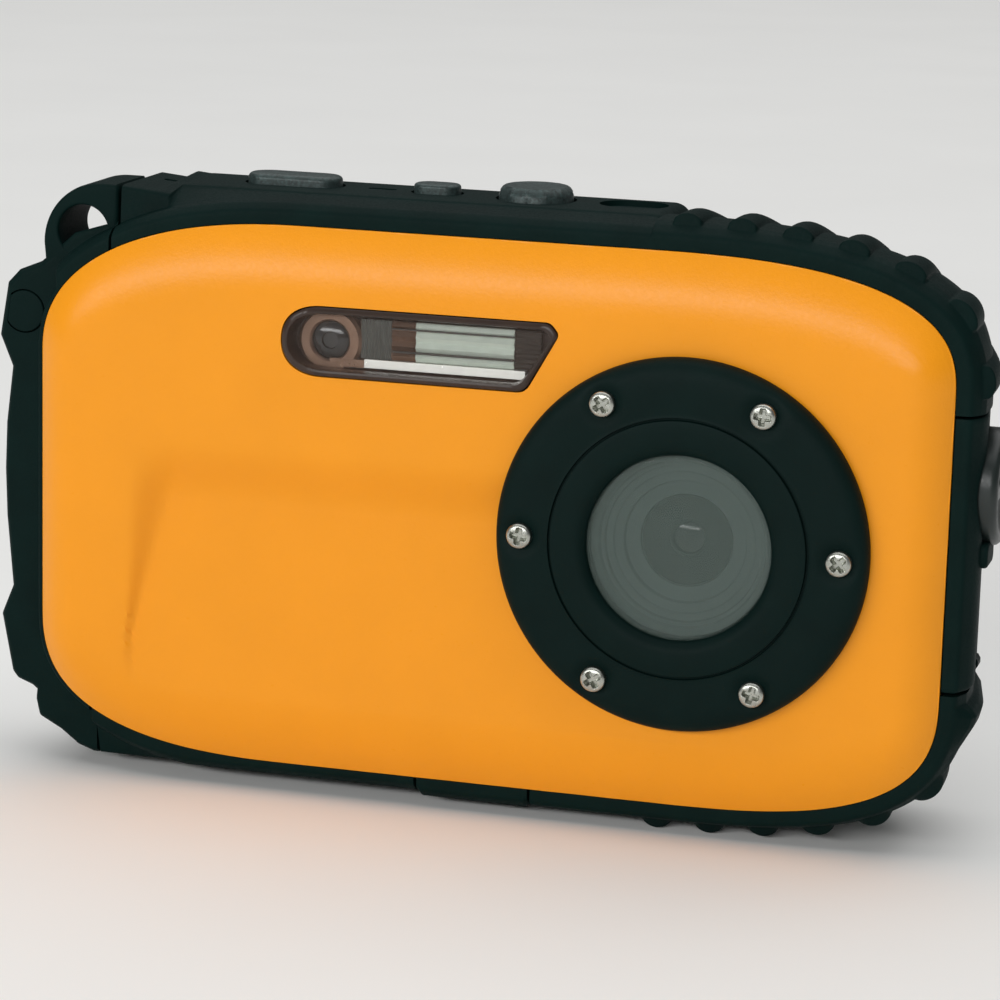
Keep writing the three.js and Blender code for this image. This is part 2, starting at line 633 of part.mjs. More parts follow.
function lensRing() {
  const back = PLATE_FACE - GAP;
  const body = turned([
    [SPIGOT_RADIUS, PLATE_BACK], [GLASS_RADIUS + GAP, PLATE_BACK], [GLASS_RADIUS + GAP, RING_FACE + 0.3],
    [PORT_RADIUS, RING_FACE + 0.3], [PORT_RADIUS + 0.6, RING_FACE - 0.2], [12.1, RING_FACE - 0.2],
    [12.4, RING_FACE], [RING_RADIUS - 1.5, RING_FACE], [RING_RADIUS - 0.4, RING_FACE + 0.6],
    [RING_RADIUS, back], [SPIGOT_RADIUS, back], [SPIGOT_RADIUS, PLATE_BACK],
  ]);
  const holes = screwPlaces.flatMap(([x, z]) => [
    rod('y', x, z, SCREW_SHANK + GAP, RING_FACE - 1, back + 1, 8),
    rod('y', x, z, SCREW_HEAD + GAP, RING_FACE - 1, RING_FACE + 0.8, 12),
  ]);
  return cut(body, ...holes);
}

function lensBarrel() {
  return turned([
    [7.5, -2.1], [BARREL_RADIUS, -2.1], [BARREL_RADIUS, BARREL_BACK], [5, BARREL_BACK], [5, 2.2],
    [1.75, 2.2], [1.75, 0.6], [4.4, 0.6], [4.4, 0.1], [5.8, -0.5], [5.8, -1], [7.5, -1.5], [7.5, -2.1],
  ], LENS_X, LENS_Z, 24);
}

const disc = (radius, front, back, steps) => turned(
  [[0, front], [radius, front], [radius, back], [0, back]], LENS_X, LENS_Z, steps,
);

// Assembly ----------------------------------------------------------------------------------------

add('front_cover', ORANGE, frontCover());
add('main_housing', BLACK, mainHousing());
add('rear_cover', BLACK, rearCover());
add('left_bumper', RUBBER, leftBumper());
add('screw_plug', RUBBER, rod('y', PLUG.x, PLUG.z, PLUG.radius, 2.4, 5, 16).intersect(
  prism('y', leftFace(), 0, 9),
));
add('top_deck', RUBBER, topDeck());
add('top_right_bumper', RUBBER, topRightBumper());
add('bottom_right_bumper', RUBBER, bottomRightBumper());
add('bottom_left_rail', RUBBER, bottomLeftRail());
add('tripod_block', RUBBER, tripodBlock());
add('tripod_nut', BRASS, tripodNut());

add('side_door', BLACK, sideDoor());
add('door_gasket', RUBBER, gasketBand(DOOR_INSIDE - 0.1, DOOR_INSIDE + GASKET_DEPTH - GAP, 0));
add('door_knob', GREY, doorKnob());
add('latch_cam', STEEL, latchCam());
add('door_hinge_pin', STEEL, rod(
  'y', HINGE_X, HINGE_Z, PIN_RADIUS, LUG_STARTS[0] + GAP, LUG_STARTS[1] + LUG_LENGTH - GAP, 8,
));

add('lens_ring', BLACK, lensRing());
add('port_glass', GLASS, disc(GLASS_RADIUS, RING_FACE + 0.6, RING_FACE + 2.1, 32));
add('port_gasket', RUBBER, turned([
  [8.6, -1.5], [9.2, -2.1], [9.8, -1.5], [9.2, -0.9], [8.6, -1.5],
], LENS_X, LENS_Z, 24));
screwPlaces.forEach(([x, z], i) => {
  add(`ring_screw_${i + 1}`, STEEL, screw(x, z, RING_FACE - 0.3, RING_FACE + 0.5, 3.4, SCREW_HEAD));
});
add('lens_barrel', SHELL, lensBarrel());
add('front_lens', GLASS, disc(1.45, 0.9, 1.9, 16));
add('image_sensor', SHELL, box(
  LENS_X - 4.2, LENS_X + 4.2, BARREL_BACK + GAP, BARREL_BACK + 1.1, LENS_Z - 3.4, LENS_Z + 3.4,
));

add('flash_window', SMOKE, stack([flashOutline(-0.5), PLATE_FACE - 0.3], [flashOutline(0), PLATE_FACE + 0.3],
  [flashOutline(0), PLATE_FACE + 1.1]));
const reflectorLeft = FLASH_LEFT + 8.2;
const reflectorRight = FLASH_RIGHT - FLASH_SLANT - 1.3;
const tubeZ = (FLASH_TOP + FLASH_BOTTOM) / 2;
add('flash_reflector', CHROME, cut(
  box(reflectorLeft, reflectorRight, PLATE_FACE + 1.4, 3.6, FLASH_BOTTOM + 0.5, FLASH_TOP - 0.6),
  rod('x', 0.2, tubeZ, 2.3, reflectorLeft + 0.6, reflectorRight - 0.6, 16),
));
add('flash_tube', GLASS, rod('x', 1, tubeZ, 0.9, reflectorLeft + 0.9, reflectorRight - 0.9, 12));
const lampX = FLASH_LEFT + 4.5;
add('lamp_housing', BRONZE, cut(
  rod('y', lampX, tubeZ, LAMP_HOUSING_RADIUS, PLATE_FACE + 1.4, 3, 20),
  rod('y', lampX, tubeZ, LAMP_RADIUS + GAP, PLATE_FACE, 2, 16),
));
add('timer_lamp', SHELL, rod('y', lampX, tubeZ, LAMP_RADIUS, PLATE_FACE + 1.6, 1.7, 16));

const shutterSolid = prism(
  'z', rounded(SHUTTER.x, DECK_MIDDLE, SHUTTER.length, SHUTTER.width, 2), BUTTON_BASE, SHUTTER.top,
);
add('shutter_button', GREY, shutterSolid);
add('power_button', GREY, prism(
  'z', rounded(POWER.x, DECK_MIDDLE, POWER.length, POWER.width, 1.5), BUTTON_BASE, POWER.top,
));
add('mode_button', GREY, join(
  rod('z', MODE.x, DECK_MIDDLE, MODE.radius, BUTTON_BASE, MODE.top - 0.4, 16),
  rod('z', MODE.x, DECK_MIDDLE, MODE.radius - 0.6, BUTTON_BASE, MODE.top, 16),
));

add('display_window', DARK_GLASS, prism('y', displayOutline(0), BODY_BACK - 0.9, BODY_BACK + 0.1));
add('display_panel', SHELL, box(
  displayX - DISPLAY.width / 2 + 2, displayX + DISPLAY.width / 2 - 2, BODY_BACK - DISPLAY_RECESS - DISPLAY_DEPTH,
  BODY_BACK - DISPLAY_RECESS, -DISPLAY.height / 2 + 2, DISPLAY.height / 2 - 2,
));
const keyFront = COVER_FRONT + 0.6;
for (const key of KEYS) {
  add(key.name, GREY, prism('y', key.outline(0), keyFront, BODY_BACK + KEY_PROUD));
}
add('direction_pad', GREY, cut(
  rod('y', KEY_X, PAD_Z, PAD_RADIUS, keyFront, BODY_BACK + KEY_PROUD, 24),
  rod('y', KEY_X, PAD_Z, OK_RADIUS + GAP, keyFront - 1, BODY_BACK + 2, 16),
));
add('ok_key', GREY, rod('y', KEY_X, PAD_Z, OK_RADIUS, keyFront, BODY_BACK + KEY_PROUD - 0.1, 16));
add('key_board', BOARD, box(KEY_X - 9.5, KEY_X + 9.5, HOUSING_BACK - 1.2, HOUSING_BACK - 0.2, -16.5, 18));
caseScrewPlaces.forEach(([x, z], i) => {
  add(`case_screw_${i + 1}`, STEEL, screw(
    x, z, BODY_BACK - 0.8, BODY_BACK - 0.1, HOUSING_BACK - 5, CASE_SCREW_RADIUS,
  ));
});

const trayLeft = TRAY_RIGHT - BATTERY.length - 4;
const trayBack = TRAY_FRONT + BATTERY.depth + 2 * (TRAY_WALL + GAP);
const trayHalf = BATTERY.height / 2 + GAP + TRAY_WALL;
add('battery_tray', SHELL, cut(
  box(trayLeft, TRAY_RIGHT, TRAY_FRONT, trayBack, -trayHalf, trayHalf),
  box(
    trayLeft + TRAY_WALL, TRAY_RIGHT + 1, TRAY_FRONT + TRAY_WALL, trayBack - TRAY_WALL,
    -trayHalf + TRAY_WALL, trayHalf - TRAY_WALL,
  ),
));
const batteryFront = TRAY_FRONT + TRAY_WALL + GAP;
const batteryRight = TRAY_RIGHT - 0.6;
add('battery_pack', CELL, box(
  batteryRight - BATTERY.length, batteryRight, batteryFront, batteryFront + BATTERY.depth,
  -BATTERY.height / 2, BATTERY.height / 2,
));
add('battery_contacts', BRASS, box(
  trayLeft + TRAY_WALL + GAP, batteryRight - BATTERY.length - GAP, batteryFront,
  batteryFront + BATTERY.depth, -5, 5,
));
add('main_board', BOARD, box(KEY_X - 9.5, trayLeft - 1, 10.6, 11.8, -17, 15));
add('flash_capacitor', SHELL, rod('x', 6.2, 0, 3.6, KEY_X - 8, KEY_X + 17, 16));
add('speaker', SHELL, rod('y', KEY_X - 2, -13, 5, FRONT_WALL_BACK + 0.4, FRONT_WALL_BACK + 3.6, 16));

// The origin moves to the middle of the footprint, on the surface that the camera stands on.
const bounds = new THREE.Box3().setFromObject(group);
const middle = bounds.getCenter(new THREE.Vector3());
group.position.set(-middle.x, -middle.y, -bounds.min.z);
group.updateMatrixWorld(true);

export default group;
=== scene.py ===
"""Rugged waterproof compact camera: its looks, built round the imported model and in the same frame.

Pieces are worked out in millimetres in the plate's frame: X to the right of the front, Y from front to
back and Z up, with the front plate's centre at X = 0 and Z = 0 and the plate's edge at Y = 0. One function
turns them into metres in the model's frame.
"""

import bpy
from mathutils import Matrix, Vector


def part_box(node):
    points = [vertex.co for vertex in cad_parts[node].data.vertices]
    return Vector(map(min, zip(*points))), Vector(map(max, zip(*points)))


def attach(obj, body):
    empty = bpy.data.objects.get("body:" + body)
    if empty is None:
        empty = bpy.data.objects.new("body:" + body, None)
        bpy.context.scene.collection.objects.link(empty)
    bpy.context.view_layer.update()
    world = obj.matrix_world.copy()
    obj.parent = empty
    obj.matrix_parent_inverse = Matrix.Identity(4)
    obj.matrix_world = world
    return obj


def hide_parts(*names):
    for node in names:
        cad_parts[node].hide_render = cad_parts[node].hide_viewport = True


bl_info = {
    "name": "Waterproof compact camera",
    "version": (1, 0, 0),
    "blender": (4, 5, 0),
    "location": "3D View > Sidebar > Camera",
    "description": "Builds the armour, front plate, lens port, flash, controls and rear of a rugged camera",
    "category": "Add Mesh",
}

import math

import bmesh
import bpy
import numpy as np
from mathutils import Matrix, Vector

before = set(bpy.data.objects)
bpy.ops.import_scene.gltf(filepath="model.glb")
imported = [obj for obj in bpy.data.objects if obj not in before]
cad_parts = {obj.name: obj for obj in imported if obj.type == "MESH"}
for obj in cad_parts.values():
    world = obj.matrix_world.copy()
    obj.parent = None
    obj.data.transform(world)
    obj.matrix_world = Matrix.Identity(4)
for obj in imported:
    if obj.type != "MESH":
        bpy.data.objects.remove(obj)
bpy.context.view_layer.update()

MM = 0.001
GAP = 0.3  # the model's clearance between pieces that touch

# The plate's frame, from the front cover's box
COVER_LOW, COVER_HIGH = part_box("front_cover")
PLATE_MIDDLE = (
    (COVER_LOW.x + COVER_HIGH.x) / 2,
    COVER_HIGH.y - GAP * MM,
    (COVER_LOW.z + COVER_HIGH.z) / 2,
)


def extent(node):
    """Lowest and highest corner of a node in the plate's frame, in millimetres."""
    low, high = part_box(node)
    middle = np.array(PLATE_MIDDLE)
    return (np.array(low) - middle) / MM, (np.array(high) - middle) / MM


def centre(node):
    low, high = extent(node)
    return (low + high) / 2


def half_size(node, axis=0):
    low, high = extent(node)
    return (high[axis] - low[axis]) / 2


RIGHT = extent("front_cover")[1][0]
TOP = extent("front_cover")[1][2]
PLATE_FACE = extent("front_cover")[0][1]
ARMOUR_BACK = extent("top_deck")[1][1]
BODY_BACK = extent("rear_cover")[1][1]
COVER_FRONT = extent("rear_cover")[0][1]
LENS_X, _, LENS_Z = centre("lens_ring")
RING_RADIUS = half_size("lens_ring")
RING_FACE = extent("lens_ring")[0][1] + 0.2
DECK_TOP = TOP + 2.7
SHELF_TOP = TOP + 1.95

# The plate's corners: side in X and Z, reach along X and Z, and the superellipse's power
CORNERS = (
    (1, 1, 30.2, 11.85, 2.71),
    (-1, 1, 26.6, 13.9, 2.28),
    (-1, -1, 26.1, 13.5, 2.6),
    (1, -1, 27.35, 13.45, 2.95),
)
ARMOUR = 2.4  # how far the armour stands outside the plate's outline
RAIL = 1.8  # the same along the bottom left
RIB_HEIGHT = 0.75
RIB_RADIUS = 1.7
RIB_PITCH = 5.35
TOP_RIB_PITCH = RIB_PITCH * 0.957
LOW_RIB_PITCH = RIB_PITCH * 0.965
TOP_RIB_START = 1.5  # the first rib's distance from the control strip, and from the tripod block
LOW_RIB_START = 12.5
SEAM_RISE = 1.1  # how far above its own seam the door meets the bumper
DECK_SHORT = 1.0  # how far the control strip stops short of its own seam
FIT = 0.06  # the gap that shows where the armour meets the plate


# Sizes and colours -------------------------------------------------------------------------------------


def linear(hex_colour):
    """An sRGB hex colour as linear red, green and blue."""
    parts = [int(hex_colour[i : i + 2], 16) / 255 for i in (1, 3, 5)]
    return tuple(p / 12.92 if p <= 0.04045 else ((p + 0.055) / 1.055) ** 2.4 for p in parts)


def colour_property(name, description, hex_colour):
    return bpy.props.FloatVectorProperty(
        name=name, description=description, subtype="COLOR", size=3, min=0, max=1, default=linear(hex_colour)
    )


class CameraSizes(bpy.types.PropertyGroup):
    """Sizes in millimetres that a user would change."""

    crown_width: bpy.props.FloatProperty(
        name="Crown width", description="Width of the plate's rounded border at the top", default=7.0
    )
    hollow_depth: bpy.props.FloatProperty(
        name="Hollow depth", description="Depth of the finger hollow in the plate", default=1.75
    )
    lip_width: bpy.props.FloatProperty(
        name="Lip width", description="Width of the armour's lip round the plate", default=2.1
    )
    grain_size: bpy.props.FloatProperty(
        name="Grain size", description="Size of the moulded grain on the armour", default=0.25
    )
    dimple_depth: bpy.props.FloatProperty(
        name="Dimple depth", description="Depth of the hollows round the ring's screws", default=0.5
    )


class CameraColours(bpy.types.PropertyGroup):
    """Base colours of the finishes."""

    orange: colour_property("Orange", "Moulded front plate", "#f39a18")
    armour: colour_property("Armour", "Soft-touch rubber", "#061b19")
    hard_black: colour_property("Hard black", "Ring and rear cover", "#081716")
    grey: colour_property("Grey", "Buttons and knob", "#2b3837")
    floor: colour_property("Floor", "Studio floor", "#f4f4f2")


def sizes():
    return bpy.context.scene.camera_sizes


def colours():
    return bpy.context.scene.camera_colours


# Meshes ------------------------------------------------------------------------------------------------


def to_model(points):
    """Points in millimetres in the plate's frame as metres in the model's frame."""
    return np.asarray(points, float) * MM + np.array(PLATE_MIDDLE)


def grid_faces(count_u, count_v, wrap_u, wrap_v):
    """Quads between the rows and columns of a grid of points, numbered row by row."""
    u = np.arange(count_u if wrap_u else count_u - 1)
    v = np.arange(count_v if wrap_v else count_v - 1)
    u, v = np.meshgrid(u, v, indexing="ij")
    next_u, next_v = (u + 1) % count_u, (v + 1) % count_v
    quads = [u * count_v + v, next_u * count_v + v, next_u * count_v + next_v, u * count_v + next_v]
    return np.stack(quads, -1).reshape(-1, 4)


def volume_of(points, faces):
    """Signed volume inside faces, each fanned from its first corner."""
    total = 0.0
    for k in range(1, faces.shape[1] - 1):
        a, b, c = points[faces[:, 0]], points[faces[:, k]], points[faces[:, k + 1]]
        total += np.einsum("ij,ij->i", a, np.cross(b, c)).sum()
    return total


def mesh_of(name, points, face_sets, sharp=40):
    """A mesh of points in millimetres and arrays of faces, its doubles merged and its faces turned outwards."""
    points = np.asarray(points, float)
    middle = points.mean(0)
    inside_out = sum(volume_of(points - middle, faces) for faces in face_sets) < 0
    rows = sum(((faces[:, ::-1] if inside_out else faces).tolist() for faces in face_sets), [])
    mesh = bpy.data.meshes.new(name)
    mesh.from_pydata(to_model(points).tolist(), [], rows)
    work = bmesh.new()
    work.from_mesh(mesh)
    bmesh.ops.remove_doubles(work, verts=work.verts, dist=1e-6)
    bmesh.ops.dissolve_degenerate(work, edges=work.edges, dist=1e-7)
    work.to_mesh(mesh)
    work.free()
    mesh.shade_smooth()
    mesh.set_sharp_from_angle(angle=math.radians(sharp))
    return mesh


def tube_mesh(name, grid, closed_path=False, sharp=40):
    """A closed section (second index) carried along a path (first index), capped at open ends."""
    count_u, count_v = grid.shape[:2]
    face_sets = [grid_faces(count_u, count_v, closed_path, True)]
    if not closed_path:
        ends = np.arange(count_v)
        last = (count_u - 1) * count_v
        quad = face_sets[0][0]
        forward = list(quad[:2]) == [0, count_v]
        near, far = (ends, (last + ends)[::-1]) if forward else (ends[::-1], last + ends)
        face_sets.append(np.array([near, far]))
    return mesh_of(name, grid.reshape(-1, 3), face_sets, sharp)


def turned_mesh(name, profile, axis="y", at=(0, 0), steps=96, sharp=40, shift=None):
    """A profile of (radius, place on the axis) turned round an axis. It starts and ends on the axis, or
    closes on itself. shift(x, z) in the turned plane may move points along the axis."""
    profile = np.asarray(profile, float)
    closed = np.allclose(profile[0], profile[-1])
    if closed:
        profile = profile[:-1]
    turn = np.linspace(0, 2 * np.pi, steps, endpoint=False)[:, None]
    radius, along = profile[None, :, 0], profile[None, :, 1]
    first, second = radius * np.cos(turn), radius * np.sin(turn)
    along = along + 0 * first
    if shift:
        along = along + shift(first, second, along)
    if axis == "y":
        grid = np.stack([first + at[0], along, second + at[1]], -1)
    elif axis == "z":
        grid = np.stack([first + at[0], second + at[1], along], -1)
    else:
        grid = np.stack([along, first + at[0], second + at[1]], -1)
    faces = grid_faces(steps, len(profile), True, closed)
    return mesh_of(name, grid.reshape(-1, 3), [faces], sharp)


def rounded_loops(controls, radii, fills, steps=4):
    """Closed loops through control points (loop, point, 2) whose corners are rounded by quadratic curves
    that start a radius from the corner. fills gives how many more points lie on each straight part."""
    before, after = np.roll(controls, 1, axis=1), np.roll(controls, -1, axis=1)

    def towards(other):
        leg = other - controls
        length = np.linalg.norm(leg, axis=-1, keepdims=True)
        share = np.minimum(np.asarray(radii, float)[None, :, None], 0.48 * length)
        return controls + leg * share / np.maximum(length, 1e-9)

    starts, ends = towards(before), towards(after)
    t = np.linspace(0, 1, steps + 1)[None, :, None]
    columns = []
    for k in range(controls.shape[1]):
        a, c, b = starts[:, k : k + 1], controls[:, k : k + 1], ends[:, k : k + 1]
        columns.append((1 - t) ** 2 * a + 2 * t * (1 - t) * c + t**2 * b)
        if fills[k]:
            s = np.linspace(0, 1, fills[k] + 2)[None, 1:-1, None]
            following = starts[:, (k + 1) % controls.shape[1]][:, None]
            columns.append(b + (following - b) * s)
    return np.concatenate(columns, 1)


def smooth(low, high, value):
    """0 below low, 1 above high and an S-shaped curve between them."""
    t = np.clip((np.asarray(value, float) - low) / (high - low), 0, 1)
    return t * t * (3 - 2 * t)


def slot_outline(u, v, length, width, radius, steps=10):
    """A rectangle with round corners as points, anticlockwise."""
    half_u, half_v = length / 2, width / 2
    r = min(radius, half_u, half_v)
    turn = np.linspace(0, np.pi / 2, steps + 1)
    points = []
    for quarter, (su, sv) in enumerate([(1, 1), (-1, 1), (-1, -1), (1, -1)]):
        angle = turn + quarter * np.pi / 2
        points.append(
            np.stack([u + su * (half_u - r) + r * np.cos(angle), v + sv * (half_v - r) + r * np.sin(angle)], -1)
        )
    return np.concatenate(points)


def carve(mesh, *cutters):
    """The mesh less closed cutter meshes, by an exact boolean."""
    body = bpy.data.objects.new("carve_body", mesh)
    bpy.context.scene.collection.objects.link(body)
    tools = []
    for cutter in cutters:
        tool = bpy.data.objects.new("carve_tool", cutter)
        bpy.context.scene.collection.objects.link(tool)
        modifier = body.modifiers.new("carve", "BOOLEAN")
        modifier.operation, modifier.solver, modifier.object = "DIFFERENCE", "EXACT", tool
        tools.append(tool)
    evaluated = body.evaluated_get(bpy.context.evaluated_depsgraph_get())
    result = bpy.data.meshes.new_from_object(evaluated)
    for item in [body, *tools]:
        bpy.data.objects.remove(item)
    result.shade_smooth()
    result.set_sharp_from_angle(angle=math.radians(40))
    return result


def prism_mesh(name, outline, axis, start, end, edge=0.0, edge_steps=4, dome=0.0):
    """An outline pushed along an axis, with its end edge rounded by `edge` and its end face raised by
    `dome` in its middle. The outline is (X, Z) along Y, (X, Y) along Z and (Y, Z) along X."""
    outline = np.asarray(outline, float)
    middle = (outline.max(0) + outline.min(0)) / 2
    half = (outline.max(0) - outline.min(0)) / 2
    sign = np.sign(end - start)
    turn = np.linspace(0, np.pi / 2, edge_steps + 1) if edge else np.array([0.0])
    insets = np.concatenate([[half.min()], [0.0], edge * (1 - np.cos(turn))])
    alongs = np.concatenate([[start], [start], end - sign * edge * (1 - np.sin(turn))])
    shares = np.linspace(0.85, 0, 7) if dome else np.array([0.5, 0.0])
    inner = half.min() - (half.min() - edge) * shares
    insets = np.concatenate([insets, inner])
    rise = dome * (1 - shares**2)
    alongs = np.concatenate([alongs, end + sign * rise])
    scale = 1 - insets[:, None] / half[None, :]
    scale[[0, -1]] = 0
    ring = middle + (outline[:, None, :] - middle) * scale[None]
    along = np.broadcast_to(alongs[None, :], ring.shape[:2])
    order = {"y": (0, 2, 1), "z": (0, 1, 2), "x": (2, 0, 1)}[axis]
    stacked = [ring[..., 0], ring[..., 1], along]
    grid = np.stack([stacked[k] for k in order], -1)
    faces = grid_faces(len(outline), len(alongs), True, False)
    return mesh_of(name, grid.reshape(-1, 3), [faces])


def add_piece(name, mesh, material, body, nodes=()):
    """Puts a finished mesh in the scene: it rides on a body and stands for CAD nodes."""
    mesh.materials.clear()
    mesh.materials.append(material)
    piece = bpy.data.objects.new(name, mesh)
    bpy.context.scene.collection.objects.link(piece)
    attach(piece, body)
    if nodes:
        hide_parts(*nodes)
    return piece


# Materials ---------------------------------------------------------------------------------------------


def add_node(tree, kind, settings=None, links=None):
    """Adds a node. settings sets its attributes and sockets by name, and links joins its inputs."""
    node = tree.nodes.new(kind)
    for key, value in (settings or {}).items():
        if key in node.inputs.keys():
            node.inputs[key].default_value = value
        else:
            setattr(node, key, value)
    for key, source in (links or {}).items():
        tree.links.new(source, node.inputs[key])
    return node


def new_material(name, settings):
    """A material with one Principled shader, whose sockets take the settings."""
    material = bpy.data.materials.new(name)
    material.use_nodes = True
    tree = material.node_tree
    shader = tree.nodes["Principled BSDF"]
    for key, value in settings.items():
        shader.inputs[key].default_value = value
    return material, tree, shader


def place_of(tree):
    return add_node(tree, "ShaderNodeTexCoord").outputs["Object"]


def with_alpha(colour):
    return (*colour, 1.0)


def mottle(tree, shader, colour, spread, size_mm, place):
    """Lets the base colour drift by `spread` of its value in patches of size_mm."""
    noise = add_node(tree, "ShaderNodeTexNoise", {"Scale": 1000 / size_mm, "Detail": 3.0}, {"Vector": place})
    ramp = add_node(tree, "ShaderNodeValToRGB", {}, {"Fac": noise.outputs["Fac"]})
    ramp.color_ramp.elements[0].position, ramp.color_ramp.elements[1].position = 0.3, 0.7
    ramp.color_ramp.elements[0].color = with_alpha([c * (1 - spread) for c in colour])
    ramp.color_ramp.elements[1].color = with_alpha([min(1, c * (1 + spread)) for c in colour])
    tree.links.new(ramp.outputs["Color"], shader.inputs["Base Color"])


def grain(tree, shader, size_mm, depth_mm, place, strength=1.0, roughness=None):
    """Raises a moulded grain of size_mm, and lets roughness swing between two values with it."""
    noise = add_node(
        tree, "ShaderNodeTexNoise", {"Scale": 1000 / size_mm, "Detail": 4.0, "Roughness": 0.6}, {"Vector": place}
    )
    bump = add_node(
        tree,
        "ShaderNodeBump",
        {"Strength": strength, "Distance": depth_mm * MM},
        {"Height": noise.outputs["Fac"]},
    )
    tree.links.new(bump.outputs["Normal"], shader.inputs["Normal"])
    if roughness:
        spread = add_node(
            tree,
            "ShaderNodeMapRange",
            {"From Min": 0.3, "From Max": 0.7, "To Min": roughness[0], "To Max": roughness[1]},
            {"Value": noise.outputs["Fac"]},
        )
        tree.links.new(spread.outputs["Result"], shader.inputs["Roughness"])


_made = {}


def finish(name):
    """The named material, made once."""
    if name not in _made:
        recipe = FINISHES[name]
        _made[name] = recipe() if callable(recipe) else surface_of(*recipe)
    return _made[name]


def soft_touch_rubber():
    """Soft-touch rubber over hard plastic: nearly black with a green cast, matt, with a moulded grain."""
    material, tree, shader = new_material(
        "soft-touch rubber armour", {"Roughness": 0.6, "IOR": 1.5, "Specular IOR Level": 0.07}
    )
    place = place_of(tree)
    mottle(tree, shader, colours().armour, 0.12, 4, place)
    grain(tree, shader, sizes().grain_size, 0.02, place, 0.7, (0.52, 0.68))
    return material


def metallic_grey_plastic():
    """Grey moulding with aluminium flake: a fine sparkle in a satin surface."""
    material, tree, shader = new_material("flake grey ABS", {"Roughness": 0.42, "Metallic": 0.25})
    place = place_of(tree)
    flakes = add_node(tree, "ShaderNodeTexVoronoi", {"Scale": 1000 / 0.22}, {"Vector": place})
    ramp = add_node(tree, "ShaderNodeValToRGB", {}, {"Fac": flakes.outputs["Color"]})
    grey = np.array(colours().grey)
    ramp.color_ramp.elements[0].color = with_alpha(grey * 0.55)
    ramp.color_ramp.elements[1].color = with_alpha(np.minimum(grey * 1.9, 1))
    tree.links.new(ramp.outputs["Color"], shader.inputs["Base Color"])
    grain(tree, shader, 0.22, 0.02, place, 0.6, (0.36, 0.5))
    return material


def surface_of(name, settings, colour, grained=None):
    """A material from a row of FINISHES: a colour that drifts in patches, and a moulded grain."""
    material, tree, shader = new_material(name, settings)
    place = place_of(tree)
    value, spread, patch = colour
    base = linear(value) if value.startswith("#") else getattr(colours(), value)
    mottle(tree, shader, base, spread, patch, place)
    if grained:
        size, depth, strength, roughness = (*grained, None)[:4]
        grain(tree, shader, size, depth, place, strength, roughness)
    return material


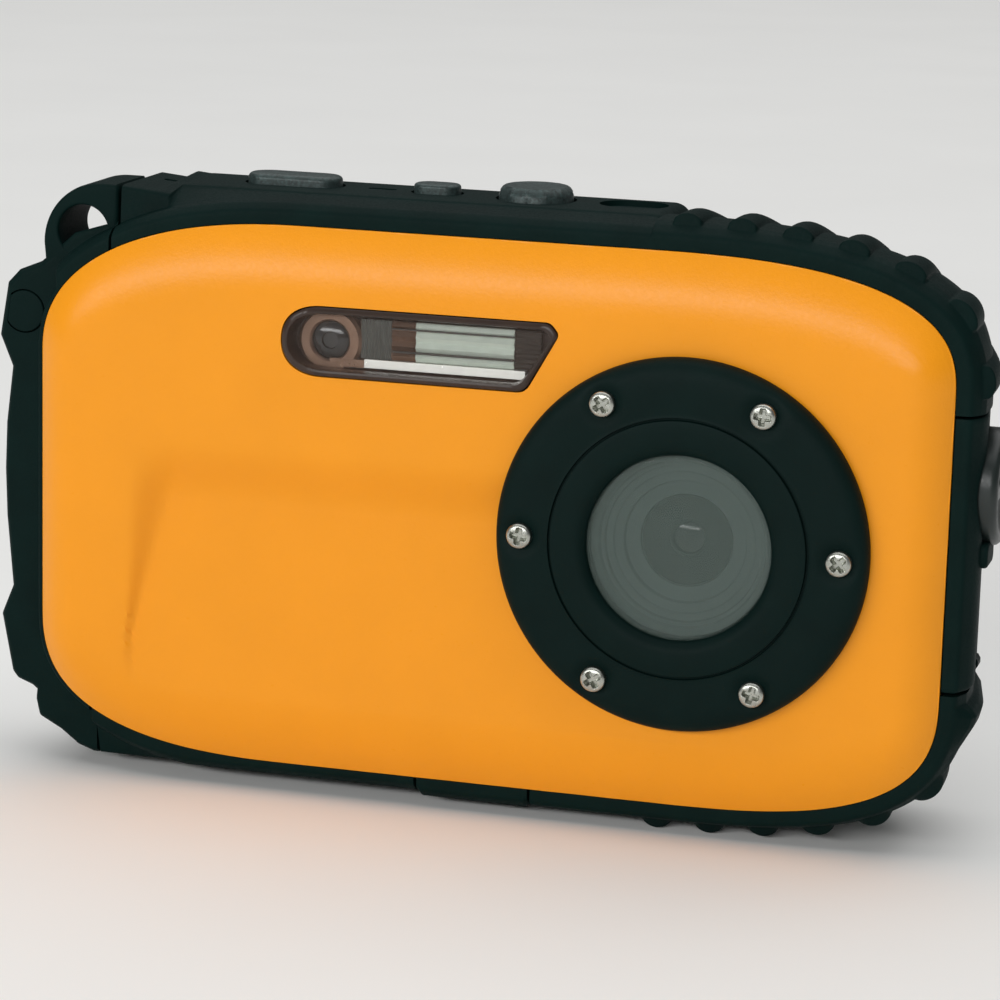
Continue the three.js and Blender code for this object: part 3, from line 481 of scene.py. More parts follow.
# A finish is a function, or a row: the material's name, the shader's settings, its colour (hex or one of the
# panel's) with how far that drifts and over how many millimetres, and the grain's size and depth in
# millimetres, its strength and the roughness that swings with it.
FINISHES = {
    # Matt black moulding round the front lens.
    "throat": (
        "matt black moulding",
        {"Roughness": 0.7, "IOR": 1.5, "Specular IOR Level": 0.2},
        ("#141b1a", 0.06, 2.0),
        (0.2, 0.01, 0.5, (0.62, 0.75)),
    ),
    # Spark-eroded polycarbonate ring: deep black with a green cast, nearly matt.
    "ring": (
        "matt black polycarbonate",
        {"Roughness": 0.58, "IOR": 1.5, "Specular IOR Level": 0.08},
        ("#061917", 0.1, 4),
        (0.22, 0.012, 0.6, (0.5, 0.62)),
    ),
    # Satin grey moulding, darker than the buttons.
    "knob": (
        "satin grey moulding",
        {"Roughness": 0.35, "IOR": 1.5},
        ("#18211f", 0.1, 2.0),
        (0.3, 0.01, 0.5, (0.3, 0.42)),
    ),
    # Unplated grey moulding beside the flash lens.
    "side_ribs": (
        "ribbed grey moulding",
        {"Roughness": 0.4, "IOR": 1.55},
        ("#5b605c", 0.12, 1.0),
        (0.2, 0.008, 0.5, (0.34, 0.48)),
    ),
    # Brown-grey moulding at the flash's right end.
    "end_ribs": (
        "brown-grey moulding",
        {"Roughness": 0.4, "IOR": 1.55},
        ("#3c3833", 0.12, 1.0),
        (0.2, 0.008, 0.5, (0.34, 0.48)),
    ),
    # Moulded ABS with a satin lacquer: soft broad highlights with a very fine orange-peel grain.
    "orange": (
        "moulded orange ABS",
        {"Roughness": 0.31, "IOR": 1.5, "Specular IOR Level": 0.27},
        ("orange", 0.02, 9),
        (0.3, 0.02, 0.8, (0.27, 0.37)),
    ),
    "armour": soft_touch_rubber,
    # Spark-eroded polycarbonate moulding: black, satin, with a fine even texture.
    "black": (
        "satin black polycarbonate",
        {"Roughness": 0.5, "IOR": 1.5, "Specular IOR Level": 0.09},
        ("hard_black", 0.08, 5),
        (0.2, 0.012, 0.6, (0.42, 0.54)),
    ),
    "grey": metallic_grey_plastic,
    # Pickled stainless: bright grey metal with faint tumbling marks.
    "steel": (
        "stainless steel",
        {"Metallic": 1.0, "Roughness": 0.3},
        ("#b4b6ae", 0.1, 0.6),
        (0.12, 0.006, 0.5, (0.22, 0.4)),
    ),
    # Black-oxide steel: dark metal, slightly rough.
    "black_steel": (
        "black oxide steel",
        {"Metallic": 1.0, "Roughness": 0.4},
        ("#3a3d3f", 0.12, 0.5),
        (0.12, 0.006, 0.5, (0.32, 0.5)),
    ),
    # Turned brass: fine rings left by the lathe tool.
    "brass": (
        "turned brass",
        {"Metallic": 1.0, "Roughness": 0.3},
        ("#c2a35c", 0.08, 1.0),
        (0.1, 0.005, 0.5, (0.25, 0.38)),
    ),
    # Flat toughened glass with a painted reflection: its grey veil stands in for the white studio mirrored in the
    # window, so that the barrel behind it looks milky grey.
    "port_glass": (
        "hazy port glass",
        {"Roughness": 0.06, "IOR": 1.5, "Alpha": 0.3, "Specular IOR Level": 0.3},
        ("#66756f", 0.03, 6),
    ),
    # Coated optical glass: nearly black with a bright point of light.
    "lens_glass": (
        "coated lens glass",
        {"Roughness": 0.12, "IOR": 1.5},
        ("#0c1012", 0.1, 0.8),
        (1.0, 0.001, 0.2),
    ),
    # Matt grey-black barrel moulding.
    "barrel": (
        "matt barrel moulding",
        {"Roughness": 0.7, "IOR": 1.5},
        ("#4a5654", 0.06, 2.0),
        (0.2, 0.01, 0.5, (0.62, 0.75)),
    ),
    # Clear polycarbonate with a light smoke tint: glossy, seen through.
    "window": (
        "smoked clear polycarbonate",
        {"Roughness": 0.05, "IOR": 1.58, "Alpha": 0.1},
        ("#6b5a50", 0.05, 3.0),
        (2.0, 0.002, 0.2),
    ),
    # The window's bonded border: dark brown under clear plastic.
    "rim": (
        "brown window border",
        {"Roughness": 0.3, "IOR": 1.58, "Specular IOR Level": 0.3},
        ("#33261f", 0.15, 1.5),
        (0.4, 0.005, 0.4),
    ),
    # Vacuum-metallised moulding with a bronze tint.
    "bronze": (
        "bronze metallised moulding",
        {"Metallic": 0.8, "Roughness": 0.32},
        ("#8a6f5e", 0.12, 1.5),
        (0.3, 0.01, 0.5, (0.26, 0.4)),
    ),
    # Vacuum-metallised mirror plating, bright with a painted reflection: it is only partly metal, and its
    # near-white colour stands in for the studio it mirrors. It has a faint orange peel.
    "chrome": (
        "bright metallised plating",
        {"Metallic": 0.55, "Roughness": 0.22},
        ("#f4f4ee", 0.04, 1.0),
        (0.8, 0.004, 0.3, (0.18, 0.28)),
    ),
    # Frosted acrylic flash lens: pale green-white, lit by the mirror behind it.
    "prism": (
        "frosted acrylic flash lens",
        {"Roughness": 0.22, "IOR": 1.49},
        ("#d3dfd3", 0.06, 1.2),
        (0.25, 0.006, 0.5, (0.15, 0.3)),
    ),
    # Smoked lamp lens: dark grey, glossy.
    "lamp": (
        "smoked lamp lens",
        {"Roughness": 0.15, "IOR": 1.55},
        ("#20282a", 0.12, 1.0),
        (0.3, 0.004, 0.4, (0.1, 0.22)),
    ),
    # Black-edged display window: glossy hard-coated acrylic.
    "display": (
        "hard-coated display window",
        {"Roughness": 0.08, "IOR": 1.49},
        ("#0b0d10", 0.1, 12.0),
        (4.0, 0.003, 0.2, (0.06, 0.12)),
    ),
    # Pale laminate sweep, matt and even.
    "floor": (
        "pale studio floor",
        {"Roughness": 0.85},
        ("floor", 0.01, 60.0),
    ),
    # Silicone seal: dark grey, satin.
    "seal": (
        "silicone seal",
        {"Roughness": 0.5, "IOR": 1.43},
        ("#2b2d2e", 0.1, 1.5),
        (0.3, 0.01, 0.5, (0.42, 0.56)),
    ),
    # Circuit board under green solder mask.
    "board": (
        "green solder mask",
        {"Roughness": 0.35, "IOR": 1.55},
        ("#1d5a34", 0.15, 1.5),
        (0.5, 0.02, 0.5, (0.3, 0.45)),
    ),
    # Shrink-wrapped cell: blue film.
    "wrap": (
        "blue shrink wrap",
        {"Roughness": 0.3, "IOR": 1.5},
        ("#2d4f86", 0.08, 3.0),
        (0.8, 0.01, 0.4, (0.25, 0.38)),
    ),
}


# Outline -----------------------------------------------------------------------------------------------


class Outline:
    """The plate's closed outline by arc length, anticlockwise from the top of its right side."""

    def __init__(self, per_corner=1500):
        points, normals = [], []
        for side_x, side_z, reach_x, reach_z, power in CORNERS:
            turn = np.linspace(0, np.pi / 2, per_corner)
            if side_x * side_z < 0:
                turn = turn[::-1]
            along_x = np.clip(np.cos(turn), 0, 1) ** (2 / power)
            along_z = np.clip(np.sin(turn), 0, 1) ** (2 / power)
            normal = np.stack([along_x ** (power - 1) / reach_x, along_z ** (power - 1) / reach_z], -1)
            normal /= np.linalg.norm(normal, axis=1, keepdims=True)
            side = np.array([side_x, side_z])
            reach = np.array([reach_x, reach_z])
            points.append(side * (np.array([RIGHT, TOP]) - reach + reach * np.stack([along_x, along_z], -1)))
            normals.append(side * normal)
        corners = np.concatenate([*points, points[0][:1]])
        facing = np.concatenate([*normals, normals[0][:1]])
        walked = np.concatenate([[0], np.cumsum(np.linalg.norm(np.diff(corners, axis=0), axis=1))])
        self.length = walked[-1]
        self.arcs = np.linspace(0, self.length, 12001)
        self.points = np.stack([np.interp(self.arcs, walked, corners[:, k]) for k in (0, 1)], -1)
        self.normals = np.stack([np.interp(self.arcs, walked, facing[:, k]) for k in (0, 1)], -1)

    def at(self, arcs):
        """Points and outward normals at distances along the outline."""
        arcs = np.asarray(arcs, float) % self.length
        point = np.stack([np.interp(arcs, self.arcs, self.points[:, k]) for k in (0, 1)], -1)
        normal = np.stack([np.interp(arcs, self.arcs, self.normals[:, k]) for k in (0, 1)], -1)
        return point, normal / np.linalg.norm(normal, axis=1, keepdims=True)

    def arc_of(self, coordinate, value, other_side):
        """Distance along the outline where X (0) or Z (1) has a value, on one side of the other."""
        there = np.where(self.points[:, 1 - coordinate] * other_side > 0)[0]
        nearest = there[np.argmin(np.abs(self.points[there, coordinate] - value))]
        return self.arcs[nearest]

    def between(self, start, end, count):
        """Distances from start to end, going anticlockwise."""
        if end < start:
            end += self.length
        return np.linspace(start, end, count)


OUTLINE = Outline()


def along_x(xs, side):
    """Points on the top (side 1) or bottom (side -1) of the outline at given X, with straight directions."""
    half = OUTLINE.points[OUTLINE.points[:, 1] * side > 0]
    half = half[np.argsort(half[:, 0])]
    z = np.interp(xs, half[:, 0], half[:, 1])
    return np.stack([xs, z], -1), np.tile([0.0, float(side)], (len(xs), 1))


def fine_steps(low, high, edges, coarse=0.8, fine=0.08, reach=0.9):
    """Places from low to high, coarse on the whole and fine around the given edges."""
    places = [np.arange(low, high, coarse), [low, high]]
    places += [np.arange(max(low, e - reach), min(high, e + reach), fine) for e in edges]
    places = np.unique(np.concatenate(places))
    keep = np.concatenate([[True], np.diff(places) > fine / 2])
    keep[-1] = True
    return places[keep]


def section(count, *points):
    """Control points of a section as (loop, point, 2) from pairs of numbers or arrays."""
    columns = [np.stack(np.broadcast_arrays(d, y, np.zeros(count))[:2], -1) for d, y in points]
    return np.stack(columns, 1)


def swept_mesh(name, places, directions, controls, radii, fills=None, sharp=40):
    """Sections of (distance along the direction, Y) carried along points of the outline."""
    loops = rounded_loops(controls, radii, fills or [0] * controls.shape[1])
    grid = np.empty((len(places), loops.shape[1], 3))
    grid[..., 0] = places[:, None, 0] + directions[:, None, 0] * loops[..., 0]
    grid[..., 2] = places[:, None, 1] + directions[:, None, 1] * loops[..., 0]
    grid[..., 1] = loops[..., 1]
    return tube_mesh(name, grid, sharp=sharp)


# Front plate -------------------------------------------------------------------------------------------


def distance_to_outline(x, z):
    """Distance from points inside the plate to its edge, and how far the nearest edge faces up or down."""
    arcs = OUTLINE.between(0, OUTLINE.length, 1400)
    edge, normal = OUTLINE.at(arcs)
    flat = np.stack([x.ravel(), z.ravel()], -1)
    distance, upright = np.empty(len(flat)), np.empty(len(flat))
    for part in np.array_split(np.arange(len(flat)), 24):
        gap = np.linalg.norm(flat[part, None] - edge[None], axis=-1)
        nearest = gap.argmin(1)
        distance[part], upright[part] = gap[np.arange(len(part)), nearest], normal[nearest, 1] ** 2
    return distance.reshape(x.shape), upright.reshape(x.shape)


HOLLOW_TOP = 5.2  # where the finger hollow's upper slope starts and ends
HOLLOW_SHELF = -0.6
HOLLOW_LEFT = -35.2
HOLLOW_FOOT = -15.0
HOLLOW_CORNER = -31.2
HOLLOW_FADE = -20.0
HOLLOW_END = (-6, 8)  # where it fades out, from the lens's middle


def hollow(x, z):
    """The finger hollow, from 0 to 1: an upper slope across the plate, a left slope that narrows to a point
    at its foot, and a floor that rises again evenly towards the bottom."""
    upper = smooth(HOLLOW_TOP, HOLLOW_SHELF, z)
    floor = np.clip((z - HOLLOW_FADE) / (HOLLOW_SHELF - HOLLOW_FADE), 0, 1)
    share = np.clip((z - HOLLOW_FOOT) / (HOLLOW_SHELF - HOLLOW_FOOT), 0.02, 1.6)
    left = smooth(0, 1, (x - HOLLOW_LEFT) / ((HOLLOW_CORNER - HOLLOW_LEFT) * share))
    return np.minimum(upper, 1) * left * floor * (1 - smooth(LENS_X + HOLLOW_END[0], LENS_X + HOLLOW_END[1], x))


PLATE_HOLE = 13.7  # radius of the hole round the lens
PLATE_RINGS = 118
PLATE_WALL = 1.3
SIDE_CROWN = 4.2  # width of the rounded border at the plate's ends


def plate_mesh():
    """Rings from the lens hole out to the outline. Depth is the face, less a rounded border that falls to the
    edge, plus the finger hollow; a second skin behind it closes the wall."""
    arcs = OUTLINE.between(0, OUTLINE.length, 481)[:-1]
    edge, _ = OUTLINE.at(arcs)
    lens = np.array([LENS_X, LENS_Z])
    reach = np.linalg.norm(edge - lens, axis=1)
    towards = (edge - lens) / reach[:, None]
    share = 1 - (1 - np.linspace(0, 1, PLATE_RINGS)) ** 1.45
    radius = PLATE_HOLE + (reach[:, None] - PLATE_HOLE) * share[None, :]
    x = LENS_X + towards[:, :1] * radius
    z = LENS_Z + towards[:, 1:] * radius
    inside, upright = distance_to_outline(x, z)
    inside[:, -1] = 0
    width = SIDE_CROWN + (sizes().crown_width - SIDE_CROWN) * upright
    across = np.clip(inside / width, 0, 1)
    crown = -PLATE_FACE * (1 - across) ** 2
    front = PLATE_FACE + crown + sizes().hollow_depth * hollow(x, z)
    front = np.minimum(front, 0)
    back = np.minimum(front + PLATE_WALL, GAP)
    skin = np.linspace(0, PLATE_RINGS - 1, 30).astype(int)[::-1]
    grid = np.concatenate(
        [np.stack([x, front, z], -1), np.stack([x[:, skin], back[:, skin], z[:, skin]], -1)], axis=1
    )
    faces = grid_faces(len(arcs), grid.shape[1], True, True)
    return mesh_of("front_plate", grid.reshape(-1, 3), [faces], sharp=50)


BOW_POWER = 2.3
BOW_REACH = 4.2


def flash_outline(grow=0.0, steps=24):
    """A round left end and a right end that leans out towards the top, with small corner radii."""
    low, high = extent("flash_window")
    left, right, bottom, top = low[0] - grow, high[0] + grow, low[2] - grow, high[2] + grow
    half, slant = (top - bottom) / 2, 3.2
    turn = np.linspace(0.5 * np.pi, 1.5 * np.pi, steps)
    across = -np.abs(np.cos(turn)) ** (2 / BOW_POWER)
    upright = np.sign(np.sin(turn)) * np.abs(np.sin(turn)) ** (2 / BOW_POWER)
    bow = np.stack([left + BOW_REACH * (1 + across), bottom + half + half * upright], -1)
    corners = np.array([[right - slant, bottom], [right, top - 1.1], [right - 0.9, top]])[None]
    controls = np.concatenate([corners, bow[None]], 1)
    radii = [0.9, 0.5, 0.5] + [0.01] * steps
    return rounded_loops(controls, radii, [0] * (steps + 3), steps=5)[0]


class CAMERA_OT_front_plate(bpy.types.Operator):
    """Builds the orange plate with its rounded border, finger hollow and flash opening"""

    bl_idname = "camera_parts.front_plate"
    bl_label = "Front plate"

    def execute(self, context):
        opening = prism_mesh("opening", flash_outline(0.12), "y", 1.5, -4.0)
        mesh = carve(plate_mesh(), opening)
        add_piece("front_plate", mesh, finish("orange"), "camera", ["front_cover"])
        return {"FINISHED"}


# Armour --------------------------------------------------------------------------------------------------


def rib_arcs():
    """Distances along the outline of the ribs on the top right and the bottom right."""
    top_start = OUTLINE.arc_of(0, extent("top_deck")[1][0] + TOP_RIB_START, 1)
    low_start = OUTLINE.arc_of(0, extent("tripod_block")[1][0] + LOW_RIB_START, -1)
    top = top_start - TOP_RIB_PITCH * np.arange(7)
    low = low_start + LOW_RIB_PITCH * np.arange(6)
    return top % OUTLINE.length, low % OUTLINE.length


def rib_height(arcs, ribs):
    """Height of the ribs at distances along the outline: each is the top of a round bar."""
    gap = np.abs(arcs[:, None] % OUTLINE.length - ribs[None])
    gap = np.minimum(gap, OUTLINE.length - gap).min(1)
    bar = np.sqrt(np.maximum(RIB_RADIUS**2 - gap**2, 0)) - (RIB_RADIUS - RIB_HEIGHT)
    return np.maximum(bar, 0)


def ribbed_mesh(name, arcs, ribs, proud, level):
    """The lip, bevel and side of the armour along part of the outline, with ribs across its side. proud is how
    far the ribs' front ends stand out of the bevel, and level the side's distance from the outline."""
    places, normals = OUTLINE.at(arcs)
    rib = rib_height(arcs, ribs)
    raised = np.clip(rib / 0.2, 0, 1)
    lip = sizes().lip_width
    controls = section(
        len(arcs),
        (FIT, 0.07),
        (lip - 0.55, 0.07),
        (level - 0.45, 1.25),
        (level + rib - 0.12 * (1 - raised), 2.05 - proud * raised),
        (level + rib - 0.1, 6.5),
        (level + 0.9 * rib - 0.95, 11.2),
        (np.maximum(level + 0.5 * rib - 1.75, 0.75), ARMOUR_BACK - 1.5),
        (0.6, ARMOUR_BACK),
        (GAP, ARMOUR_BACK),
        (GAP, 0.8),
    )
    return swept_mesh(
        name, places, normals, controls, [0.05, 0.5, 0.15, 0.22, 2, 2, 0.8, 0.05, 0.05, 0.1], sharp=48
    )


def straight_mesh(name, xs, side, top, foot, front_slope, back_slope, back_top=None):
    """Armour above or below the plate whose outer face stands at a height of its own, top, from Z = 0: the lip
    follows the outline, a wall stands on its outer edge at Y = foot, and a slope climbs to the face. back_top
    is the face's height at its back, where that differs."""
    places, directions = along_x(xs, side)
    level = top - np.abs(places[:, 1])
    back = level if back_top is None else back_top - np.abs(places[:, 1])
    lip = np.minimum(sizes().lip_width + 0 * level, level - 0.25)
    controls = section(
        len(xs),
        (FIT, 0.05),
        (lip - 0.75, 0.05),
        (lip, 1.1),
        (lip + 0.12, foot),
        (np.maximum(level - 0.3, lip + 0.15), front_slope),
        (level, front_slope + 0.35),
        (back, back_slope),
        (np.maximum(back - 1.4, GAP + 0.3), ARMOUR_BACK - 0.3),
        (np.maximum(back - 1.9, GAP + 0.15), ARMOUR_BACK),
        (GAP, ARMOUR_BACK),
        (GAP, 0.8),
    )
    radii = [0.05, 0.4, 0.3, 0.2, 0.3, 0.5, 1, 0.3, 0.2, 0.1, 0.1]
    return swept_mesh(name, places, directions, controls, radii, sharp=42)


def deck_mesh():
    """The control strip: a platform with rounded ends and a lower shelf at its left."""
    low, high = extent("top_deck")
    shelf_end, right = low[0] + 5.25, high[0] - DECK_SHORT
    back_end = shelf_end - 1.8
    xs = fine_steps(low[0], right, [shelf_end, back_end, right - 0.6, low[0] + 0.5], 0.7, 0.1, 1.3)
    step = smooth(shelf_end - 0.4, shelf_end + 0.4, xs)
    back_step = smooth(back_end - 0.4, back_end + 0.4, xs)
    ends = np.clip((right - xs) / 1.6, 0, 1)
    drop = 1.5 * (1 - np.sqrt(np.maximum(1 - (1 - ends) ** 2, 0)))
    shelf = SHELF_TOP + 0.5 * np.clip((shelf_end - xs) / 5.25, 0, 1)
    top = shelf + (DECK_TOP - SHELF_TOP) * step - drop
    back_top = shelf + (DECK_TOP - SHELF_TOP) * back_step - drop
    return straight_mesh("top_deck_cover", xs, 1, top, 2.5 - 0.6 * step, 2.75 + 2.0 * step, 14.4, back_top)


# The flat corner of the bottom right bumper, as X and Z
CORNER_FACET = ((43.9, -23.3), (45.5, -21.5), (48.2, -16.6), (48.45, -15.6), (48.0, -14.9), (47.4, -14.4))


class CAMERA_OT_armour_right(bpy.types.Operator):
    """Builds the ribbed bumpers at the top right and bottom right"""

    bl_idname = "camera_parts.armour_right"
    bl_label = "Ribbed bumpers"

    def execute(self, context):
        top_ribs, low_ribs = rib_arcs()
        start = OUTLINE.arc_of(1, extent("top_right_bumper")[0][2] + SEAM_RISE, 1)
        end = OUTLINE.arc_of(0, extent("top_deck")[1][0] - DECK_SHORT - 0.5, 1)
        # the outline starts at the top of the right side, so this stretch runs across its start
        top = OUTLINE.between(start, end, 420)
        mesh = ribbed_mesh("top_right_armour", top, top_ribs, 0.6, ARMOUR + 0.35)
        add_piece("top_right_armour", mesh, finish("armour"), "camera", ["top_right_bumper"])
        start = OUTLINE.arc_of(0, extent("bottom_right_bumper")[0][0], -1)
        end = OUTLINE.arc_of(1, extent("bottom_right_bumper")[1][2], 1)
        low = OUTLINE.between(start, end, 470)
        places, normals = OUTLINE.at(low)
        level = np.maximum(ARMOUR, reach_along(places, normals, np.array(CORNER_FACET)))
        mesh = ribbed_mesh("bottom_right_armour", low, low_ribs, -0.1, level)
        add_piece("bottom_right_armour", mesh, finish("armour"), "camera", ["bottom_right_bumper"])
        return {"FINISHED"}


DECK_MIDDLE = 10.0


class CAMERA_OT_top_deck(bpy.types.Operator):
    """Builds the control strip with the pockets for its buttons"""

    bl_idname = "camera_parts.top_deck"
    bl_label = "Control strip"

    def execute(self, context):
        mesh = deck_mesh()
        cutters = []
        for node, radius in (("shutter_button", 2.0), ("power_button", 1.5), ("mode_button", 3.7)):
            low, high = extent(node)
            size = high - low + 2 * GAP
            middle = (low + high) / 2
            outline = slot_outline(middle[0], middle[1], size[0], size[1], radius + GAP)
            cutters.append(prism_mesh("pocket", outline, "z", DECK_TOP + 2, TOP + 0.5))
        indicator = slot_outline(-13.5, DECK_MIDDLE, 2.9, 0.9, 0.45)
        cutters.append(prism_mesh("pocket", indicator, "z", DECK_TOP + 1, DECK_TOP - 0.9))
        shelf_slot = slot_outline(extent("top_deck")[0][0] + 2.75, DECK_MIDDLE, 2.2, 0.9, 0.45)
        cutters.append(prism_mesh("pocket", shelf_slot, "z", SHELF_TOP + 1, SHELF_TOP - 0.7))
        rest = slot_outline(11.65, DECK_MIDDLE + 0.4, 6.7, 5.0, 2.45)
        cutters.append(prism_mesh("pocket", rest, "z", DECK_TOP + 1, DECK_TOP - 0.5))
        add_piece("top_deck_cover", carve(mesh, *cutters), finish("armour"), "camera", ["top_deck"])
        return {"FINISHED"}


class CAMERA_OT_armour_bottom(bpy.types.Operator):
    """Builds the rail along the bottom left and the block round the tripod thread"""

    bl_idname = "camera_parts.armour_bottom"
    bl_label = "Bottom rail and tripod block"

    def execute(self, context):
        low, high = extent("bottom_left_rail")
        xs = np.linspace(low[0], high[0], 70)
        mesh = straight_mesh("bottom_rail", xs, -1, TOP + RAIL + 0 * xs, 1.5, 2.4, 11.0)
        add_piece("bottom_rail", mesh, finish("armour"), "camera", ["bottom_left_rail"])
        low, high = extent("tripod_block")
        xs = fine_steps(low[0], high[0], [low[0], high[0]], 0.7, 0.1, 0.5)
        ends = np.minimum(xs - low[0], high[0] - xs)
        level = TOP + ARMOUR - 0.4 * (1 - smooth(0, 0.5, ends))
        mesh = straight_mesh("tripod_base", xs, -1, level, 1.5, 2.4, 11.0)
        boss_x, boss_y = centre("tripod_nut")[:2]
        foot = extent("tripod_block")[0][2]
        nut = half_size("tripod_nut")
        boss = turned_mesh(
            "boss",
            [
                (nut + GAP, -TOP - 0.5), (5.3, -TOP - 0.5), (5.3, foot + 0.6), (4.9, foot + 0.1), (4.7, foot),
                (nut + GAP + 0.2, foot), (nut + GAP, foot + 0.2), (nut + GAP, -TOP - 0.5),
            ],
            "z",
            (boss_x, boss_y),
        )
        hole = prism_mesh(
            "bore", slot_outline(boss_x, boss_y, 2 * (nut + GAP), 2 * (nut + GAP), nut + GAP), "z", foot - 1,
            -TOP + 0.2,
        )
        add_piece("tripod_base", carve(mesh, hole), finish("armour"), "camera", ["tripod_block"])
        add_piece("tripod_boss", boss, finish("armour"), "camera")
        return {"FINISHED"}


# Corners of the left bumper's side face, as X and Z from the plate's left end and its top or bottom
GRIP_TOP = ((-1.0, -5.6), (-3.3, -6.55), (-4.55, -7.9), (-5.4, -13.2), (-4.1, -16.3))
GRIP_BELLY = ((-4.75, -22.0), (-4.9, -26.7), (-4.75, -31.5))
GRIP_BOTTOM = (
    (-4.1, 14.7), (-5.3, 11.7), (-4.15, 5.8), (-3.6, 5.1), (-2.0, 4.5), (-1.5, 4.1), (-1.6, 3.1), (-1.2, 1.4),
    (1.1, 0.2), (3.0, -1.2), (4.6, -1.75), (7.5, -1.85),
)
LUG_MIDDLE = (5.1, -3.6)
LUG_RADIUS = 6.1
LUG_FRONT = 2.46  # just in front of the bumper's face beside it, which stands at 2.5
LUG_BACK = 10.4
GRIP_FACE = 2.2
STRAP = (3.2, -2.3)
STRAP_RADIUS = 2.6


def grip_silhouette():
    """The left bumper's side face seen from the front, as a smooth open line from the lug to the bottom."""
    left = -RIGHT - 0.25
    line = [(left + 12, TOP - 0.3), (left + 7, TOP - 1.0), (left + 2.5, TOP - 2.4)]
    line += [(left + x, TOP + z) for x, z in GRIP_TOP + GRIP_BELLY]
    line += [(left + x, -TOP + z) for x, z in GRIP_BOTTOM]
    return np.array(line)


def reach_along(starts, directions, line):
    """How far each ray goes to the open line of points; the farthest crossing counts."""
    a, b = line[:-1][None], line[1:][None]
    edge = b - a
    offset = a - starts[:, None]
    ray = directions[:, None]
    bottom = ray[..., 0] * edge[..., 1] - ray[..., 1] * edge[..., 0]
    bottom = np.where(np.abs(bottom) < 1e-9, 1e-9, bottom)
    far = (offset[..., 0] * edge[..., 1] - offset[..., 1] * edge[..., 0]) / bottom
    share = (offset[..., 0] * ray[..., 1] - offset[..., 1] * ray[..., 0]) / bottom
    hit = (share >= -1e-6) & (share <= 1 + 1e-6) & (far > 0)
    return np.where(hit, far, 0).max(1)


def grip_mesh():
    """The left bumper: sections whose direction turns from straight up at the top seam, through left, to
    straight down at the bottom seam. Each reaches out to the side face's outline."""
    start = OUTLINE.arc_of(0, extent("top_deck")[0][0] - GAP, 1)
    end = OUTLINE.arc_of(0, extent("bottom_left_rail")[0][0] - GAP, -1)
    arcs = np.linspace(start, end, 430)
    places, normals = OUTLINE.at(arcs)
    angle = np.arctan2(normals[:, 1], normals[:, 0]) % (2 * np.pi)
    walked = arcs - start
    angle += (np.pi / 2 - angle[0]) * (1 - smooth(0, 16, walked))
    angle += (1.5 * np.pi - angle[-1]) * (1 - smooth(0, 16, walked[-1] - walked))
    directions = np.stack([np.cos(angle), np.sin(angle)], -1)
    reach = reach_along(places, directions, grip_silhouette())
    lug = 1 - smooth(0.2, 1.6, -RIGHT + 0.5 - (places[:, 0] + directions[:, 0] * reach))
    lug = lug * (places[:, 1] > 0)
    lip = 0.95 + (sizes().lip_width - 0.85) * lug
    reach = np.maximum(reach, lip + 0.25)
    face = GRIP_FACE + 0.3 * lug
    behind = reach * (1 - lug) + 0.8 * lug
    controls = section(
        len(arcs),
        (FIT, 0.05),
        (np.maximum(lip - 0.85, 0.45), 0.05),
        (lip - 0.1, 1.1),
        (lip + 0.05, face),
        (np.maximum(reach - 0.5, lip + 0.08), face),
        (reach, face + 0.6 - 0.3 * lug),
        (np.minimum(reach, behind + 0.1), face + 0.9),
        (behind, 8.0),
        (behind - 0.3 * (1 - lug), 12.5),
        (np.maximum(behind - 1.6, 0.5), ARMOUR_BACK - 0.5),
        (np.maximum(behind - 2.2, 0.45), ARMOUR_BACK),
        (GAP, ARMOUR_BACK),
        (GAP, 0.8),
    )
    radii = [0.05, 0.4, 0.3, 0.25, 0.3, 0.3, 0.2, 1, 1, 0.4, 0.2, 0.1, 0.1]
    return swept_mesh("left_armour", places, directions, controls, radii, sharp=42)


def lug_mesh():
    """The strap lug: rings from its hole out to its own outline, rounded at both faces."""
    left = -RIGHT
    hole = np.array([left + STRAP[0], TOP + STRAP[1]])
    middle = np.array([left + LUG_MIDDLE[0], TOP + LUG_MIDDLE[1]])
    right = extent("top_deck")[0][0] - GAP
    turn = np.linspace(np.pi / 2, np.pi, 30)
    arc = middle + LUG_RADIUS * np.stack([np.cos(turn), np.sin(turn)], -1)
    rest = np.array(
        [[left - 0.5, TOP - 8.6], [left + 1.1, TOP - 8.6], [right, TOP - 4.3], [right, middle[1] + LUG_RADIUS]]
    )
    line = np.concatenate([arc, rest, arc[:1]])
    steps = 120
    turn = np.linspace(0, 2 * np.pi, steps, endpoint=False)
    directions = np.stack([np.cos(turn), np.sin(turn)], -1)
    outer = reach_along(np.tile(hole, (steps, 1)), directions, line)
    controls = section(
        steps,
        (STRAP_RADIUS, LUG_FRONT),
        (outer, LUG_FRONT),
        (outer, LUG_BACK),
        (STRAP_RADIUS, LUG_BACK),
    )
    loops = rounded_loops(controls, [0.35, 0.6, 0.6, 0.35], [2, 4, 2, 4], steps=5)
    grid = np.empty((steps, loops.shape[1], 3))
    grid[..., 0] = hole[0] + directions[:, :1] * loops[..., 0]
    grid[..., 2] = hole[1] + directions[:, 1:] * loops[..., 0]
    grid[..., 1] = loops[..., 1]
    return tube_mesh("strap_lug", grid, closed_path=True)


